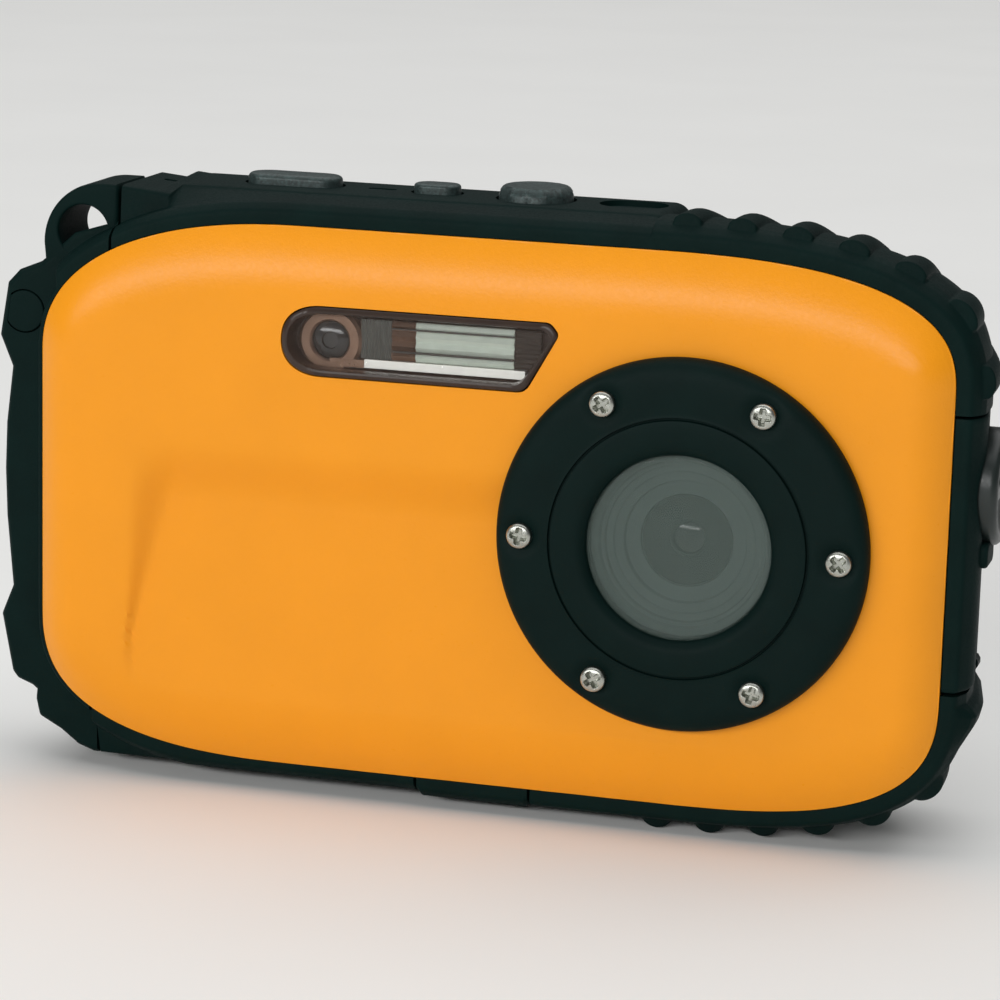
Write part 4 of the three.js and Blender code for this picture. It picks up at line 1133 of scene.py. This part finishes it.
class CAMERA_OT_armour_left(bpy.types.Operator):
    """Builds the left bumper with its strap lug and the plug on its face"""

    bl_idname = "camera_parts.armour_left"
    bl_label = "Left bumper"

    def execute(self, context):
        _, _, middle_z = centre("screw_plug")
        radius = half_size("screw_plug", 2)
        face = GRIP_FACE
        pocket = prism_mesh("pocket", plug_outline(radius + 0.13, middle_z), "y", 0.9, face + 0.7)
        grip = carve(grip_mesh(), pocket)
        add_piece("left_armour", grip, finish("armour"), "camera", ["left_bumper"])
        add_piece("strap_lug", lug_mesh(), finish("armour"), "camera")
        plug = prism_mesh(
            "screw_plug_cover", plug_outline(radius, middle_z), "y", face + 0.69, face - 0.06, edge=0.14
        )
        add_piece("screw_plug_cover", plug, finish("armour"), "camera", ["screw_plug"])
        return {"FINISHED"}


def plug_outline(radius, middle_z):
    """A circle beside the plate's left end, cut straight where the bumper's edge slants past it."""
    turn = np.linspace(0, 2 * np.pi, 72, endpoint=False)
    x, z = -RIGHT - 2.85 + radius * np.cos(turn), middle_z + radius * np.sin(turn)
    return np.stack([np.maximum(x, -RIGHT - 4.3 - 0.1 * radius + 0.14 * (z - middle_z)), z], -1)


# Side door -------------------------------------------------------------------------------------------------

DOOR_PROUD = 0.4  # how far the door stands outside the armour


def door_mesh():
    """The door's leaf: one section of lip, bevel and tapered side, carried up its height, with eased ends."""
    low, high = extent("side_door")
    bottom, top = low[2], high[2] + SEAM_RISE
    inside, outside = low[0] - RIGHT, ARMOUR + DOOR_PROUD
    zs = fine_steps(bottom, top, [bottom, top], 1.2, 0.07, 0.55)
    ends = np.minimum(zs - bottom, top - zs)
    ease = 0.5 - np.sqrt(np.maximum(0.25 - np.maximum(0.5 - ends, 0) ** 2, 0))
    ease = ease * np.where(zs - bottom < 1, 1, 0.35)
    controls = section(
        len(zs),
        (0.12 + 0.3 * ease, 0.05 + 0.3 * ease),
        (1.6 - 0.5 * ease, 0.05 + 0.3 * ease),
        (outside - 0.25 - ease, 1.75),
        (outside - ease, 3.0),
        (outside - 0.7 - ease, 8.5),
        (outside - 1.4 - ease, 14.0),
        (np.maximum(outside - 1.9 - ease, inside + ease + 0.12), ARMOUR_BACK - 0.2),
        (inside + ease, ARMOUR_BACK),
        (inside + ease, 0.75),
        (0.12 + 0.3 * ease, 0.6),
    )
    places = np.stack([RIGHT + 0 * zs, zs], -1)
    directions = np.tile([1.0, 0.0], (len(zs), 1))
    return swept_mesh(
        "side_door_leaf", places, directions, controls, [0.05, 0.4, 0.5, 1.2, 2, 1, 0.3, 0.1, 0.05, 0.05]
    )


KNOB_SINK = 0.7  # how far the knob's wall reaches into the door below its own seat


def knob_mesh():
    """The latch knob: a dished disc with a rounded rim and a straight grip bar across the dish."""
    low, high = extent("door_knob")
    radius = (high[2] - low[2]) / 2
    _, y, z = centre("door_knob")
    face, base = high[0], low[0] - KNOB_SINK
    profile = [
        (0, base), (radius - 0.15, base), (radius, base + 0.15), (radius, face - 0.75),
        (radius - 0.1, face - 0.4), (radius - 0.35, face - 0.12), (radius - 0.75, face),
        (radius - 1.15, face - 0.1), (radius - 1.6, face - 0.35), (radius - 2.4, face - 0.7),
        (radius - 3.4, face - 0.95),
        (radius - 4.4, face - 1.05), (0, face - 1.1),
    ]
    return turned_mesh("latch_knob", profile, "x", (y, z), 96, sharp=60)


class CAMERA_OT_side_door(bpy.types.Operator):
    """Builds the side door's leaf, its tab and the latch knob"""

    bl_idname = "camera_parts.side_door"
    bl_label = "Side door"

    def execute(self, context):
        low, high = extent("door_knob")
        _, y, z = centre("door_knob")
        radius = (high[2] - low[2]) / 2 + GAP
        recess = prism_mesh(
            "recess", slot_outline(y, z, 2 * radius, 2 * radius, radius, 20), "x", high[0] + 2,
            low[0] - KNOB_SINK - GAP,
        )
        rooms = [
            prism_mesh("room", slot_outline(HINGE[0], HINGE[1], 3.0, 3.0, 1.5), "y", a, b)
            for a, b in HINGE_ROOMS
        ]
        leaf = carve(door_mesh(), recess, *rooms)
        add_piece("side_door_leaf", leaf, finish("armour"), "door", ["side_door"])
        tab = prism_mesh(
            "door_tab", slot_outline(4.8, -0.4, 4.2, 2.4, 0.7), "x", RIGHT + 2.0, RIGHT + 3.4, edge=0.35
        )
        add_piece("door_tab", tab, finish("armour"), "door")
        add_piece("latch_knob", knob_mesh(), finish("knob"), "knob", ["door_knob"])
        bar_box = slot_outline(y, z, 2 * radius - 3.0, 1.7, 0.5)
        bar = prism_mesh("latch_bar", bar_box, "x", high[0] - 1.2, high[0] - 0.15, edge=0.35)
        add_piece("latch_bar", bar, finish("knob"), "knob")
        return {"FINISHED"}


HINGE = (centre("door_hinge_pin")[0], centre("door_hinge_pin")[2])
PIN_FRONT, PIN_BACK = extent("door_hinge_pin")[0][1], extent("door_hinge_pin")[1][1]
LUG_LENGTH = 1.7
HINGE_ROOMS = (
    (PIN_FRONT - 2 * GAP, PIN_FRONT + LUG_LENGTH),
    (PIN_BACK - LUG_LENGTH, PIN_BACK + 2 * GAP),
)


# Lens port -------------------------------------------------------------------------------------------------


def screw_centres():
    return [centre(f"ring_screw_{k}") for k in range(1, 7)]


class CAMERA_OT_lens_ring(bpy.types.Operator):
    """Builds the ring round the port: a low dome with a fine groove and a dimple at each screw"""

    bl_idname = "camera_parts.lens_ring"
    bl_label = "Lens ring"

    def execute(self, context):
        back = PLATE_FACE - GAP
        port = PORT_RADIUS
        share = np.linspace(0, 1, 44)
        outer_r = DOME_START + (RING_RADIUS - DOME_START) * np.sin(share * np.pi / 2) ** 0.9
        outer_y = RING_FACE + 0.05 + (back - RING_FACE - 0.25) * (1 - np.cos(share * np.pi / 2)) ** 1.75
        dome = list(zip(outer_r, outer_y))
        groove = [
            (port, 0.3), (port, RING_FACE + 0.62), (port + 0.12, RING_FACE + 0.3), (port + 0.75, RING_FACE - 0.1),
            (port + 1.2, RING_FACE - 0.2), (12.0, RING_FACE - 0.16), (12.2, RING_FACE - 0.1),
            (12.28, RING_FACE + 0.28),
            (12.42, RING_FACE + 0.28), (12.5, RING_FACE - 0.02), (12.62, RING_FACE + 0.03),
        ]
        rest = [(RING_RADIUS, back), (RING_BACK, back), (RING_BACK, 0.3), (port, 0.3)]
        places = [(c[0] - LENS_X, c[2] - LENS_Z) for c in screw_centres()]

        def dimples(x, z, along):
            depth = sum(np.exp(-(((x - px) ** 2 + (z - pz) ** 2) / 1.75**2) ** 2) for px, pz in places)
            return sizes().dimple_depth * depth * (along < back - 0.1)

        mesh = turned_mesh("lens_ring_cover", groove + dome + rest, "y", (LENS_X, LENS_Z), 300, 50, dimples)
        add_piece("lens_ring_cover", mesh, finish("ring"), "camera", ["lens_ring"])
        return {"FINISHED"}


PORT_RADIUS = 8.87
DOME_START = 12.75  # radii at which the ring's dome starts, and of its back inside the plate's hole
RING_BACK = 13.4


def screw_mesh(name, x, z, radius, face, inwards, turn, recess=0.7):
    """A pan head whose height is a flattened dome, less a cross of two tapered slots. face is the top's Y and
    inwards says which way the shank goes."""
    rings, steps = 26, 72
    r = radius * np.linspace(0, 1, rings) ** 0.8
    a = np.linspace(0, 2 * np.pi, steps, endpoint=False)
    radial, angle = np.meshgrid(r, a, indexing="ij")
    u, v = radial * np.cos(angle + turn), radial * np.sin(angle + turn)
    fall = 0.42 * (1 - (1 - (radial / radius) ** 2.6) ** 0.5)
    slot_half, slot_long = 0.17 * radius, 0.72 * radius
    arms = np.maximum(
        smooth(slot_half * 1.5, slot_half * 0.7, np.abs(u)) * smooth(slot_long, slot_long * 0.72, np.abs(v)),
        smooth(slot_half * 1.5, slot_half * 0.7, np.abs(v)) * smooth(slot_long, slot_long * 0.72, np.abs(u)),
    )
    well = smooth(0.42 * radius, 0.1 * radius, radial) * 0.5
    height = fall + recess * np.maximum(arms, well)
    top = np.stack([x + radial * np.cos(angle), face + inwards * height, z + radial * np.sin(angle)], -1)
    side = np.stack([top[-1, :, 0], top[-1, :, 1] * 0 + face + inwards * 0.9, top[-1, :, 2]], -1)[None]
    middle = np.broadcast_to([x, face + inwards * 0.9, z], side.shape)
    grid = np.concatenate([top, side, middle], 0)
    return mesh_of(name, grid.reshape(-1, 3), [grid_faces(grid.shape[0], steps, False, True)], sharp=35)


class CAMERA_OT_screws(bpy.types.Operator):
    """Builds the six screws of the ring and the four at the back"""

    bl_idname = "camera_parts.screws"
    bl_label = "Screws"

    def execute(self, context):
        for k in range(1, 7):
            node = f"ring_screw_{k}"
            low, high = extent(node)
            x, _, z = centre(node)
            mesh = screw_mesh(f"{node}_head", x, z, (high[0] - low[0]) / 2 + 0.06, low[1] - 0.12, 1, 2.4 * k)
            add_piece(f"{node}_head", mesh, finish("steel"), "camera", [node])
        for k in range(1, 5):
            node = f"case_screw_{k}"
            low, high = extent(node)
            x, _, z = centre(node)
            mesh = screw_mesh(f"{node}_head", x, z, (high[0] - low[0]) / 2, high[1], -1, 1.7 * k)
            add_piece(f"{node}_head", mesh, finish("black_steel"), "camera", [node])
        return {"FINISHED"}


class CAMERA_OT_lens(bpy.types.Operator):
    """Builds the port's glass, the stepped barrel behind it and the small front lens"""

    bl_idname = "camera_parts.lens"
    bl_label = "Port glass and lens"

    def execute(self, context):
        at = (LENS_X, LENS_Z)
        low, high = extent("port_glass")
        glass_radius = PORT_RADIUS - 0.02
        glass = [
            (0, low[1]), (glass_radius - 0.35, low[1]), (glass_radius - 0.25, low[1]),
            (glass_radius, low[1] + 0.2), (glass_radius, high[1]), (0, high[1]),
        ]
        mesh = turned_mesh("port_window", glass, "y", at, 160)
        add_piece("port_window", mesh, finish("port_glass"), "camera", ["port_glass"])
        front, back = extent("lens_barrel")[0][1], extent("lens_barrel")[1][1]
        barrel = [
            (8.75, back), (8.75, front - 0.2), (8.1, front - 0.2), (7.9, front + 0.25), (7.62, front + 0.3),
            (7.5, front + 0.75),
            (6.9, front + 0.8), (6.75, front + 1.0), (5.95, front + 1.1), (5.8, front + 1.6),
            (4.5, front + 1.9), (4.4, front + 2.4),
            (4.4, back), (8.75, back),
        ]
        mesh = turned_mesh("barrel_steps", barrel, "y", at, 160, 30)
        add_piece("barrel_steps", mesh, finish("barrel"), "camera", ["lens_barrel"])
        throat = [
            (4.37, back), (4.37, front + 2.1), (3.9, front + 2.3), (2.2, front + 2.7), (1.8, front + 2.6),
            (1.62, front + 2.75),
            (1.6, front + 3.2), (1.6, back), (4.37, back),
        ]
        mesh = turned_mesh("barrel_throat", throat, "y", at, 120, 30)
        add_piece("barrel_throat", mesh, finish("throat"), "camera")
        low, high = extent("front_lens")
        share = np.linspace(0, 1, 10)
        dome = [(1.55 * s, low[1] - 0.35 * (1 - s**2)) for s in share]
        mesh = turned_mesh("front_element", dome + [(1.55, high[1]), (0, high[1])], "y", at, 72)
        add_piece("front_element", mesh, finish("lens_glass"), "camera", ["front_lens"])
        return {"FINISHED"}


# Flash -------------------------------------------------------------------------------------------------------


def scaled_outline(outline, inset):
    """An outline drawn in towards its middle by an inset on each side."""
    middle = (outline.max(0) + outline.min(0)) / 2
    half = (outline.max(0) - outline.min(0)) / 2
    return middle + (outline - middle) * (1 - inset / half)


def ringed_mesh(name, outline, levels, sharp=35):
    """Copies of an outline, each with its own inset and Y; the first and last shrink to their middle."""
    rings = []
    middle = (outline.max(0) + outline.min(0)) / 2
    for inset, y in levels:
        ring = scaled_outline(outline, inset) if inset is not None else np.broadcast_to(middle, outline.shape)
        rings.append(np.stack([ring[:, 0], np.full(len(ring), y), ring[:, 1]], -1))
    grid = np.stack(rings)
    return mesh_of(name, grid.reshape(-1, 3), [grid_faces(len(levels), len(outline), False, True)], sharp)


def ridged_plate(name, x0, x1, z0, z1, front, depth, pitch, across, back):
    """A plate whose front is a row of ridges: saw teeth of the given pitch and depth, along X or Z."""
    count = int(round(((x1 - x0) if across == "x" else (z1 - z0)) / pitch)) * 4 + 1
    along = np.linspace(0, 1, count)
    wave = front + depth * np.abs(np.mod(np.arange(count), 4) - 2) / 2
    other = np.array([0.0, 1.0])
    if across == "x":
        u, v = np.meshgrid(x0 + (x1 - x0) * along, z0 + (z1 - z0) * other, indexing="ij")
    else:
        v, u = np.meshgrid(z0 + (z1 - z0) * along, x0 + (x1 - x0) * other, indexing="ij")
    y = np.broadcast_to(wave[:, None], u.shape)
    face = np.stack([u, y, v], -1)
    rear = np.stack([u, np.full_like(u, back), v], -1)
    grid = np.concatenate([face, rear[:, ::-1]], 1)
    return tube_mesh(name, grid, sharp=20)


class CAMERA_OT_flash(bpy.types.Operator):
    """Builds the flash window, its dark border and what shows behind it"""

    bl_idname = "camera_parts.flash"
    bl_label = "Flash and lamp"

    def execute(self, context):
        outline = flash_outline()
        face = PLATE_FACE
        window = [
            (None, face + 1.0), (0.68, face + 1.0), (0.6, face - 0.12), (0.56, face - 0.2), (None, face - 0.22)
        ]
        mesh = ringed_mesh("flash_pane", outline, window)
        add_piece("flash_pane", mesh, finish("window"), "camera", ["flash_window"])
        tray = [
            (None, 0.28), (0.05, 0.28), (0.0, face + 0.3), (0.0, face - 0.02), (0.12, face - 0.12),
            (0.36, face - 0.24), (0.54, face - 0.2),
            (0.7, face + 0.4), (0.8, 0.0), (None, 0.0),
        ]
        mesh = ringed_mesh("flash_border", outline, tray)
        add_piece("flash_border", mesh, finish("rim"), "camera")
        low, high = extent("flash_window")
        left, right, bottom, top = low[0] + 8.4, high[0] - 4.6, low[2] + 1.05, high[2] - 1.05
        mesh = ridged_plate(
            "flash_prisms", left + 4.6, right, bottom + 0.75, top, face + 1.15, 0.3, 1.05, "z", -0.1
        )
        add_piece("flash_prisms", mesh, finish("prism"), "camera", ["flash_reflector", "flash_tube"])
        for number, height in enumerate((0.22, 0.8), 1):
            line = bottom + 0.75 + height * (top - bottom - 0.75)
            outline = np.array([[left + 2.3, line], [right, line], [right, line + 0.13], [left + 2.3, line + 0.13]])
            mesh = prism_mesh(f"reflector_edge_{number}", outline, "y", face + 1.4, face + 0.9)
            add_piece(f"reflector_edge_{number}", mesh, finish("end_ribs"), "camera")
        lamp_x, _, lamp_z = centre("timer_lamp")
        radius = half_size("timer_lamp", 2)
        # name, its ends in X and in Z, how far behind the face, ridge depth, pitch and direction, finish, slot
        for name, x0, x1, z0, z1, behind, depth, pitch, across, look, slot in (
            (
                "reflector_end", left + 2.2, left + 4.55, bottom + 0.75, top, 1.2, 0.3, 1.05, "z", "bronze",
                "bronze_plastic",
            ),
            (
                "flash_side_ribs", left - 0.9, left + 2.15, bottom + 0.75, top, 1.25, 0.16, 0.34, "x",
                "side_ribs", "inner_plastic",
            ),
            (
                "flash_end_ribs", right + 0.05, right + 2.6, bottom + 0.8, top, 1.3, 0.2, 0.5, "z", "end_ribs",
                "inner_plastic",
            ),
            (
                "flash_strip", left - 0.4, right + 1.2, bottom - 0.1, bottom + 0.72, 0.95, 0.004, 0.4, "z",
                "chrome", "chrome",
            ),
            (
                "lamp_band", lamp_x, left - 0.45, bottom - 0.15, bottom + 0.6, 1.02, 0.004, 0.4, "z", "bronze",
                "bronze_plastic",
            ),
        ):
            mesh = ridged_plate(name, x0, x1, z0, z1, face + behind, depth, pitch, across, -0.1)
            add_piece(name, mesh, finish(look), "camera")
        bezel = [
            (radius + 0.02, 0.2), (radius + 0.02, face + 1.2), (radius + 0.2, face + 1.0),
            (radius + 1.0, face + 1.05), (radius + 1.3, face + 1.35), (radius + 1.35, 0.2), (radius + 0.02, 0.2),
        ]
        mesh = turned_mesh("lamp_bezel", bezel, "y", (lamp_x, lamp_z), 72)
        add_piece("lamp_bezel", mesh, finish("bronze"), "camera", ["lamp_housing"])
        lamp = [
            (0, 0.2), (radius, 0.2), (radius, face + 1.45), (radius * 0.8, face + 1.2),
            (radius * 0.45, face + 1.05), (radius * 0.4, face + 1.3), (0, face + 1.35),
        ]
        mesh = turned_mesh("lamp_lens", lamp, "y", (lamp_x, lamp_z), 72)
        add_piece("lamp_lens", mesh, finish("lamp"), "camera", ["timer_lamp"])
        return {"FINISHED"}


# Buttons -----------------------------------------------------------------------------------------------------


class CAMERA_OT_buttons(bpy.types.Operator):
    """Builds the shutter, power and mode buttons on the control strip"""

    bl_idname = "camera_parts.buttons"
    bl_label = "Top buttons"

    def execute(self, context):
        for node, radius, edge, dome in (("shutter_button", 2.0, 0.5, 0.12), ("power_button", 1.5, 0.35, 0.1)):
            low, high = extent(node)
            size, middle = high - low, (low + high) / 2
            outline = slot_outline(middle[0], middle[1], size[0], size[1], radius, 12)
            mesh = prism_mesh(f"{node}_cap", outline, "z", low[2], high[2] - dome, edge, 5, dome)
            add_piece(f"{node}_cap", mesh, finish("grey"), node, [node])
        low, high = extent("mode_button")
        radius, middle = (high[0] - low[0]) / 2, (low + high) / 2
        top = high[2]
        turn = np.linspace(0, 2 * np.pi, 240, endpoint=False)
        scallop = 0.16 * np.abs(np.sin(turn * 6)) ** 0.6
        rows = [
            (0, low[2], 0), (1.0, low[2], 0), (1.0, top - 0.9, 0), (1.0, top - 0.55, 1), (0.93, top - 0.2, 1),
            (0.84, top, 0.3), (0.6, top - 0.12, 0), (0.3, top - 0.16, 0), (0, top - 0.16, 0),
        ]
        grid = np.stack(
            [
                np.stack([
                    middle[0] + (radius * r - scallop * s) * np.cos(turn),
                    middle[1] + (radius * r - scallop * s) * np.sin(turn),
                    np.full(turn.shape, z),
                ], -1)
                for r, z, s in rows
            ]
        )
        mesh = mesh_of("mode_button_cap", grid.reshape(-1, 3), [grid_faces(len(rows), len(turn), False, True)], 40)
        add_piece("mode_button_cap", mesh, finish("grey"), "mode_button", ["mode_button"])
        return {"FINISHED"}


# Rear --------------------------------------------------------------------------------------------------------

KEY_NODES = ("zoom_in_key", "zoom_out_key", "playback_key", "menu_key", "delete_key")


def key_outline(node, grow=0.0, radius=1.6):
    low, high = extent(node)
    size, middle = high - low, (low + high) / 2
    return slot_outline(middle[0], middle[2], size[0] + 2 * grow, size[2] + 2 * grow, radius + grow)


class CAMERA_OT_rear_cover(bpy.types.Operator):
    """Builds the rear cover with its recesses for the display, the keys and the screws"""

    bl_idname = "camera_parts.rear_cover"
    bl_label = "Rear cover"

    def execute(self, context):
        arcs = OUTLINE.between(0, OUTLINE.length, 361)[:-1]
        edge, _ = OUTLINE.at(arcs)
        mesh = prism_mesh("rear_shell", edge, "y", COVER_FRONT, BODY_BACK, edge=1.6, edge_steps=8)
        deep, shallow = COVER_FRONT - 1, BODY_BACK + 1
        cutters = [prism_mesh("hole", key_outline(node, GAP), "y", shallow, deep) for node in KEY_NODES]
        pad = key_outline("direction_pad", GAP, 8.0)
        cutters.append(prism_mesh("hole", pad, "y", shallow, deep))
        cutters.append(prism_mesh("hole", key_outline("display_window", GAP, 3.0), "y", shallow, BODY_BACK - 1.2))
        for k in range(1, 5):
            cutters.append(
                prism_mesh("hole", key_outline(f"case_screw_{k}", GAP, 1.2), "y", shallow, BODY_BACK - 0.9)
            )
        add_piece("rear_shell", carve(mesh, *cutters), finish("black"), "camera", ["rear_cover"])
        return {"FINISHED"}


class CAMERA_OT_rear_controls(bpy.types.Operator):
    """Builds the display's window, the keys and the direction pad"""

    bl_idname = "camera_parts.rear_controls"
    bl_label = "Display and keys"

    def execute(self, context):
        low, high = extent("display_window")
        mesh = prism_mesh("display_pane", key_outline("display_window", 0, 3.0), "y", low[1], high[1], edge=0.25)
        add_piece("display_pane", mesh, finish("display"), "camera", ["display_window"])
        for node in KEY_NODES:
            low, high = extent(node)
            mesh = prism_mesh(f"{node}_cap", key_outline(node), "y", low[1], high[1] - 0.12, 0.35, 4, 0.12)
            add_piece(f"{node}_cap", mesh, finish("grey"), node, [node])
        low, high = extent("direction_pad")
        ok_low, ok_high = extent("ok_key")
        inner, outer = (ok_high[0] - ok_low[0]) / 2 + GAP, (high[0] - low[0]) / 2
        x, _, z = centre("direction_pad")
        face = high[1]
        pad = [
            (inner, low[1]), (inner, face - 0.35), (inner + 0.3, face - 0.15), (inner + 1.4, face - 0.35),
            (outer - 1.6, face - 0.2), (outer - 0.7, face), (outer - 0.25, face - 0.1), (outer, face - 0.4),
            (outer, low[1]), (inner, low[1]),
        ]
        mesh = turned_mesh("direction_ring", pad, "y", (x, z), 120)
        add_piece("direction_ring", mesh, finish("grey"), "direction_pad", ["direction_pad"])
        mesh = prism_mesh("ok_cap", key_outline("ok_key", 0, 3.1), "y", ok_low[1], ok_high[1] - 0.1, 0.4, 4, 0.1)
        add_piece("ok_cap", mesh, finish("grey"), "ok_key", ["ok_key"])
        return {"FINISHED"}


# Inside ------------------------------------------------------------------------------------------------------

INSIDE = {
    "main_housing": "black",
    "door_gasket": "seal",
    "port_gasket": "seal",
    "latch_cam": "steel",
    "door_hinge_pin": "steel",
    "tripod_nut": "brass",
    "battery_contacts": "brass",
    "image_sensor": "barrel",
    "display_panel": "barrel",
    "battery_tray": "barrel",
    "flash_capacitor": "barrel",
    "speaker": "barrel",
    "main_board": "board",
    "key_board": "board",
    "battery_pack": "wrap",
}


class CAMERA_OT_inside(bpy.types.Operator):
    """Gives the pieces inside the housing their finishes"""

    bl_idname = "camera_parts.inside"
    bl_label = "Inside"

    def execute(self, context):
        for node, name in INSIDE.items():
            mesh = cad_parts[node].data
            mesh.materials.clear()
            mesh.materials.append(finish(name))
        return {"FINISHED"}


# Stage -------------------------------------------------------------------------------------------------------

VIEW_AZIMUTH, VIEW_ELEVATION, VIEW_ROLL = 15.438, 12.393, 1.564  # degrees
VIEW_DISTANCE = 349.04  # millimetres from the plate's centre, along the view
VIEW_SLIDE = (1.913, 1.537)
SENSOR = 36.0
LENS = 131.3
SKY_WATTS, STRIP_WATTS = 34.0, 8.0


def view_axes():
    """The camera's right, up and backward directions, rolled about its view."""
    azimuth, elevation, roll = (math.radians(a) for a in (VIEW_AZIMUTH, VIEW_ELEVATION, VIEW_ROLL))
    back = Vector(
        (math.sin(azimuth) * math.cos(elevation), -math.cos(azimuth) * math.cos(elevation), math.sin(elevation))
    )
    right = Vector((math.cos(azimuth), math.sin(azimuth), 0))
    up = back.cross(right)
    place = back * VIEW_DISTANCE + right * VIEW_SLIDE[0] + up * VIEW_SLIDE[1]
    return right * math.cos(roll) + up * math.sin(roll), up * math.cos(roll) - right * math.sin(roll), back, place


def area_light(name, place, target, size, power, colour=(1, 1, 1)):
    light = bpy.data.lights.new(name, "AREA")
    light.shape, light.size, light.size_y = "RECTANGLE", size[0], size[1]
    light.energy, light.color = power, colour
    item = bpy.data.objects.new(name, light)
    item.location = place
    item.rotation_euler = (Vector(place) - Vector(target)).to_track_quat("Z", "Y").to_euler()
    bpy.context.scene.collection.objects.link(item)


class CAMERA_OT_stage(bpy.types.Operator):
    """Builds the floor, the lights and the camera"""

    bl_idname = "camera_parts.stage"
    bl_label = "Stage"

    def execute(self, context):
        bpy.ops.mesh.primitive_plane_add(size=8)
        floor = context.object
        floor.name = "studio_floor"
        floor.data.materials.append(finish("floor"))
        world = bpy.data.worlds.new("studio")
        context.scene.world = world
        context.scene.view_settings.view_transform = "Standard"
        world.use_nodes = True
        background = world.node_tree.nodes["Background"]
        background.inputs["Color"].default_value = (1, 1, 1, 1)
        background.inputs["Strength"].default_value = 0.14
        middle = tuple(to_model([0, 0, 0]))
        area_light("sky", (0, 0.5, 1.7), (0, 0.3, 0), (3.0, 3.0), SKY_WATTS)
        area_light("strip", (-0.25, -1.0, 0.42), middle, (1.5, 0.14), STRIP_WATTS)
        right, up, back, place = view_axes()
        camera = bpy.data.cameras.new("view")
        camera.lens, camera.sensor_width, camera.sensor_fit = LENS, SENSOR, "HORIZONTAL"
        camera.clip_start, camera.clip_end = 0.02, 20
        item = bpy.data.objects.new("view", camera)
        turned = Matrix((right, up, back)).transposed().to_4x4()
        item.matrix_world = Matrix.Translation(Vector(to_model(place))) @ turned
        context.scene.collection.objects.link(item)
        context.scene.camera = item
        return {"FINISHED"}


class CAMERA_PT_pieces(bpy.types.Panel):
    """Lists the sizes, the colours and a button for each group of pieces"""

    bl_idname = "CAMERA_PT_pieces"
    bl_label = "Camera pieces"
    bl_space_type = "VIEW_3D"
    bl_region_type = "UI"
    bl_category = "Camera"

    def draw(self, context):
        for group in (sizes(), colours()):
            for key in type(group).__annotations__:
                self.layout.prop(group, key)
        for operator in OPERATORS:
            self.layout.operator(operator.bl_idname)


OPERATORS = (
    CAMERA_OT_stage,
    CAMERA_OT_front_plate,
    CAMERA_OT_lens_ring,
    CAMERA_OT_lens,
    CAMERA_OT_screws,
    CAMERA_OT_flash,
    CAMERA_OT_armour_left,
    CAMERA_OT_top_deck,
    CAMERA_OT_armour_right,
    CAMERA_OT_armour_bottom,
    CAMERA_OT_side_door,
    CAMERA_OT_buttons,
    CAMERA_OT_rear_cover,
    CAMERA_OT_rear_controls,
    CAMERA_OT_inside,
)
CLASSES = (CameraSizes, CameraColours, *OPERATORS, CAMERA_PT_pieces)


def register():
    for item in CLASSES:
        bpy.utils.register_class(item)
    bpy.types.Scene.camera_sizes = bpy.props.PointerProperty(type=CameraSizes)
    bpy.types.Scene.camera_colours = bpy.props.PointerProperty(type=CameraColours)


def unregister():
    del bpy.types.Scene.camera_sizes
    del bpy.types.Scene.camera_colours
    for item in reversed(CLASSES):
        bpy.utils.unregister_class(item)


def main():
    register()
    for operator in OPERATORS:
        group, name = operator.bl_idname.split(".")
        getattr(getattr(bpy.ops, group), name)()


if __name__ == "__main__":
    main()
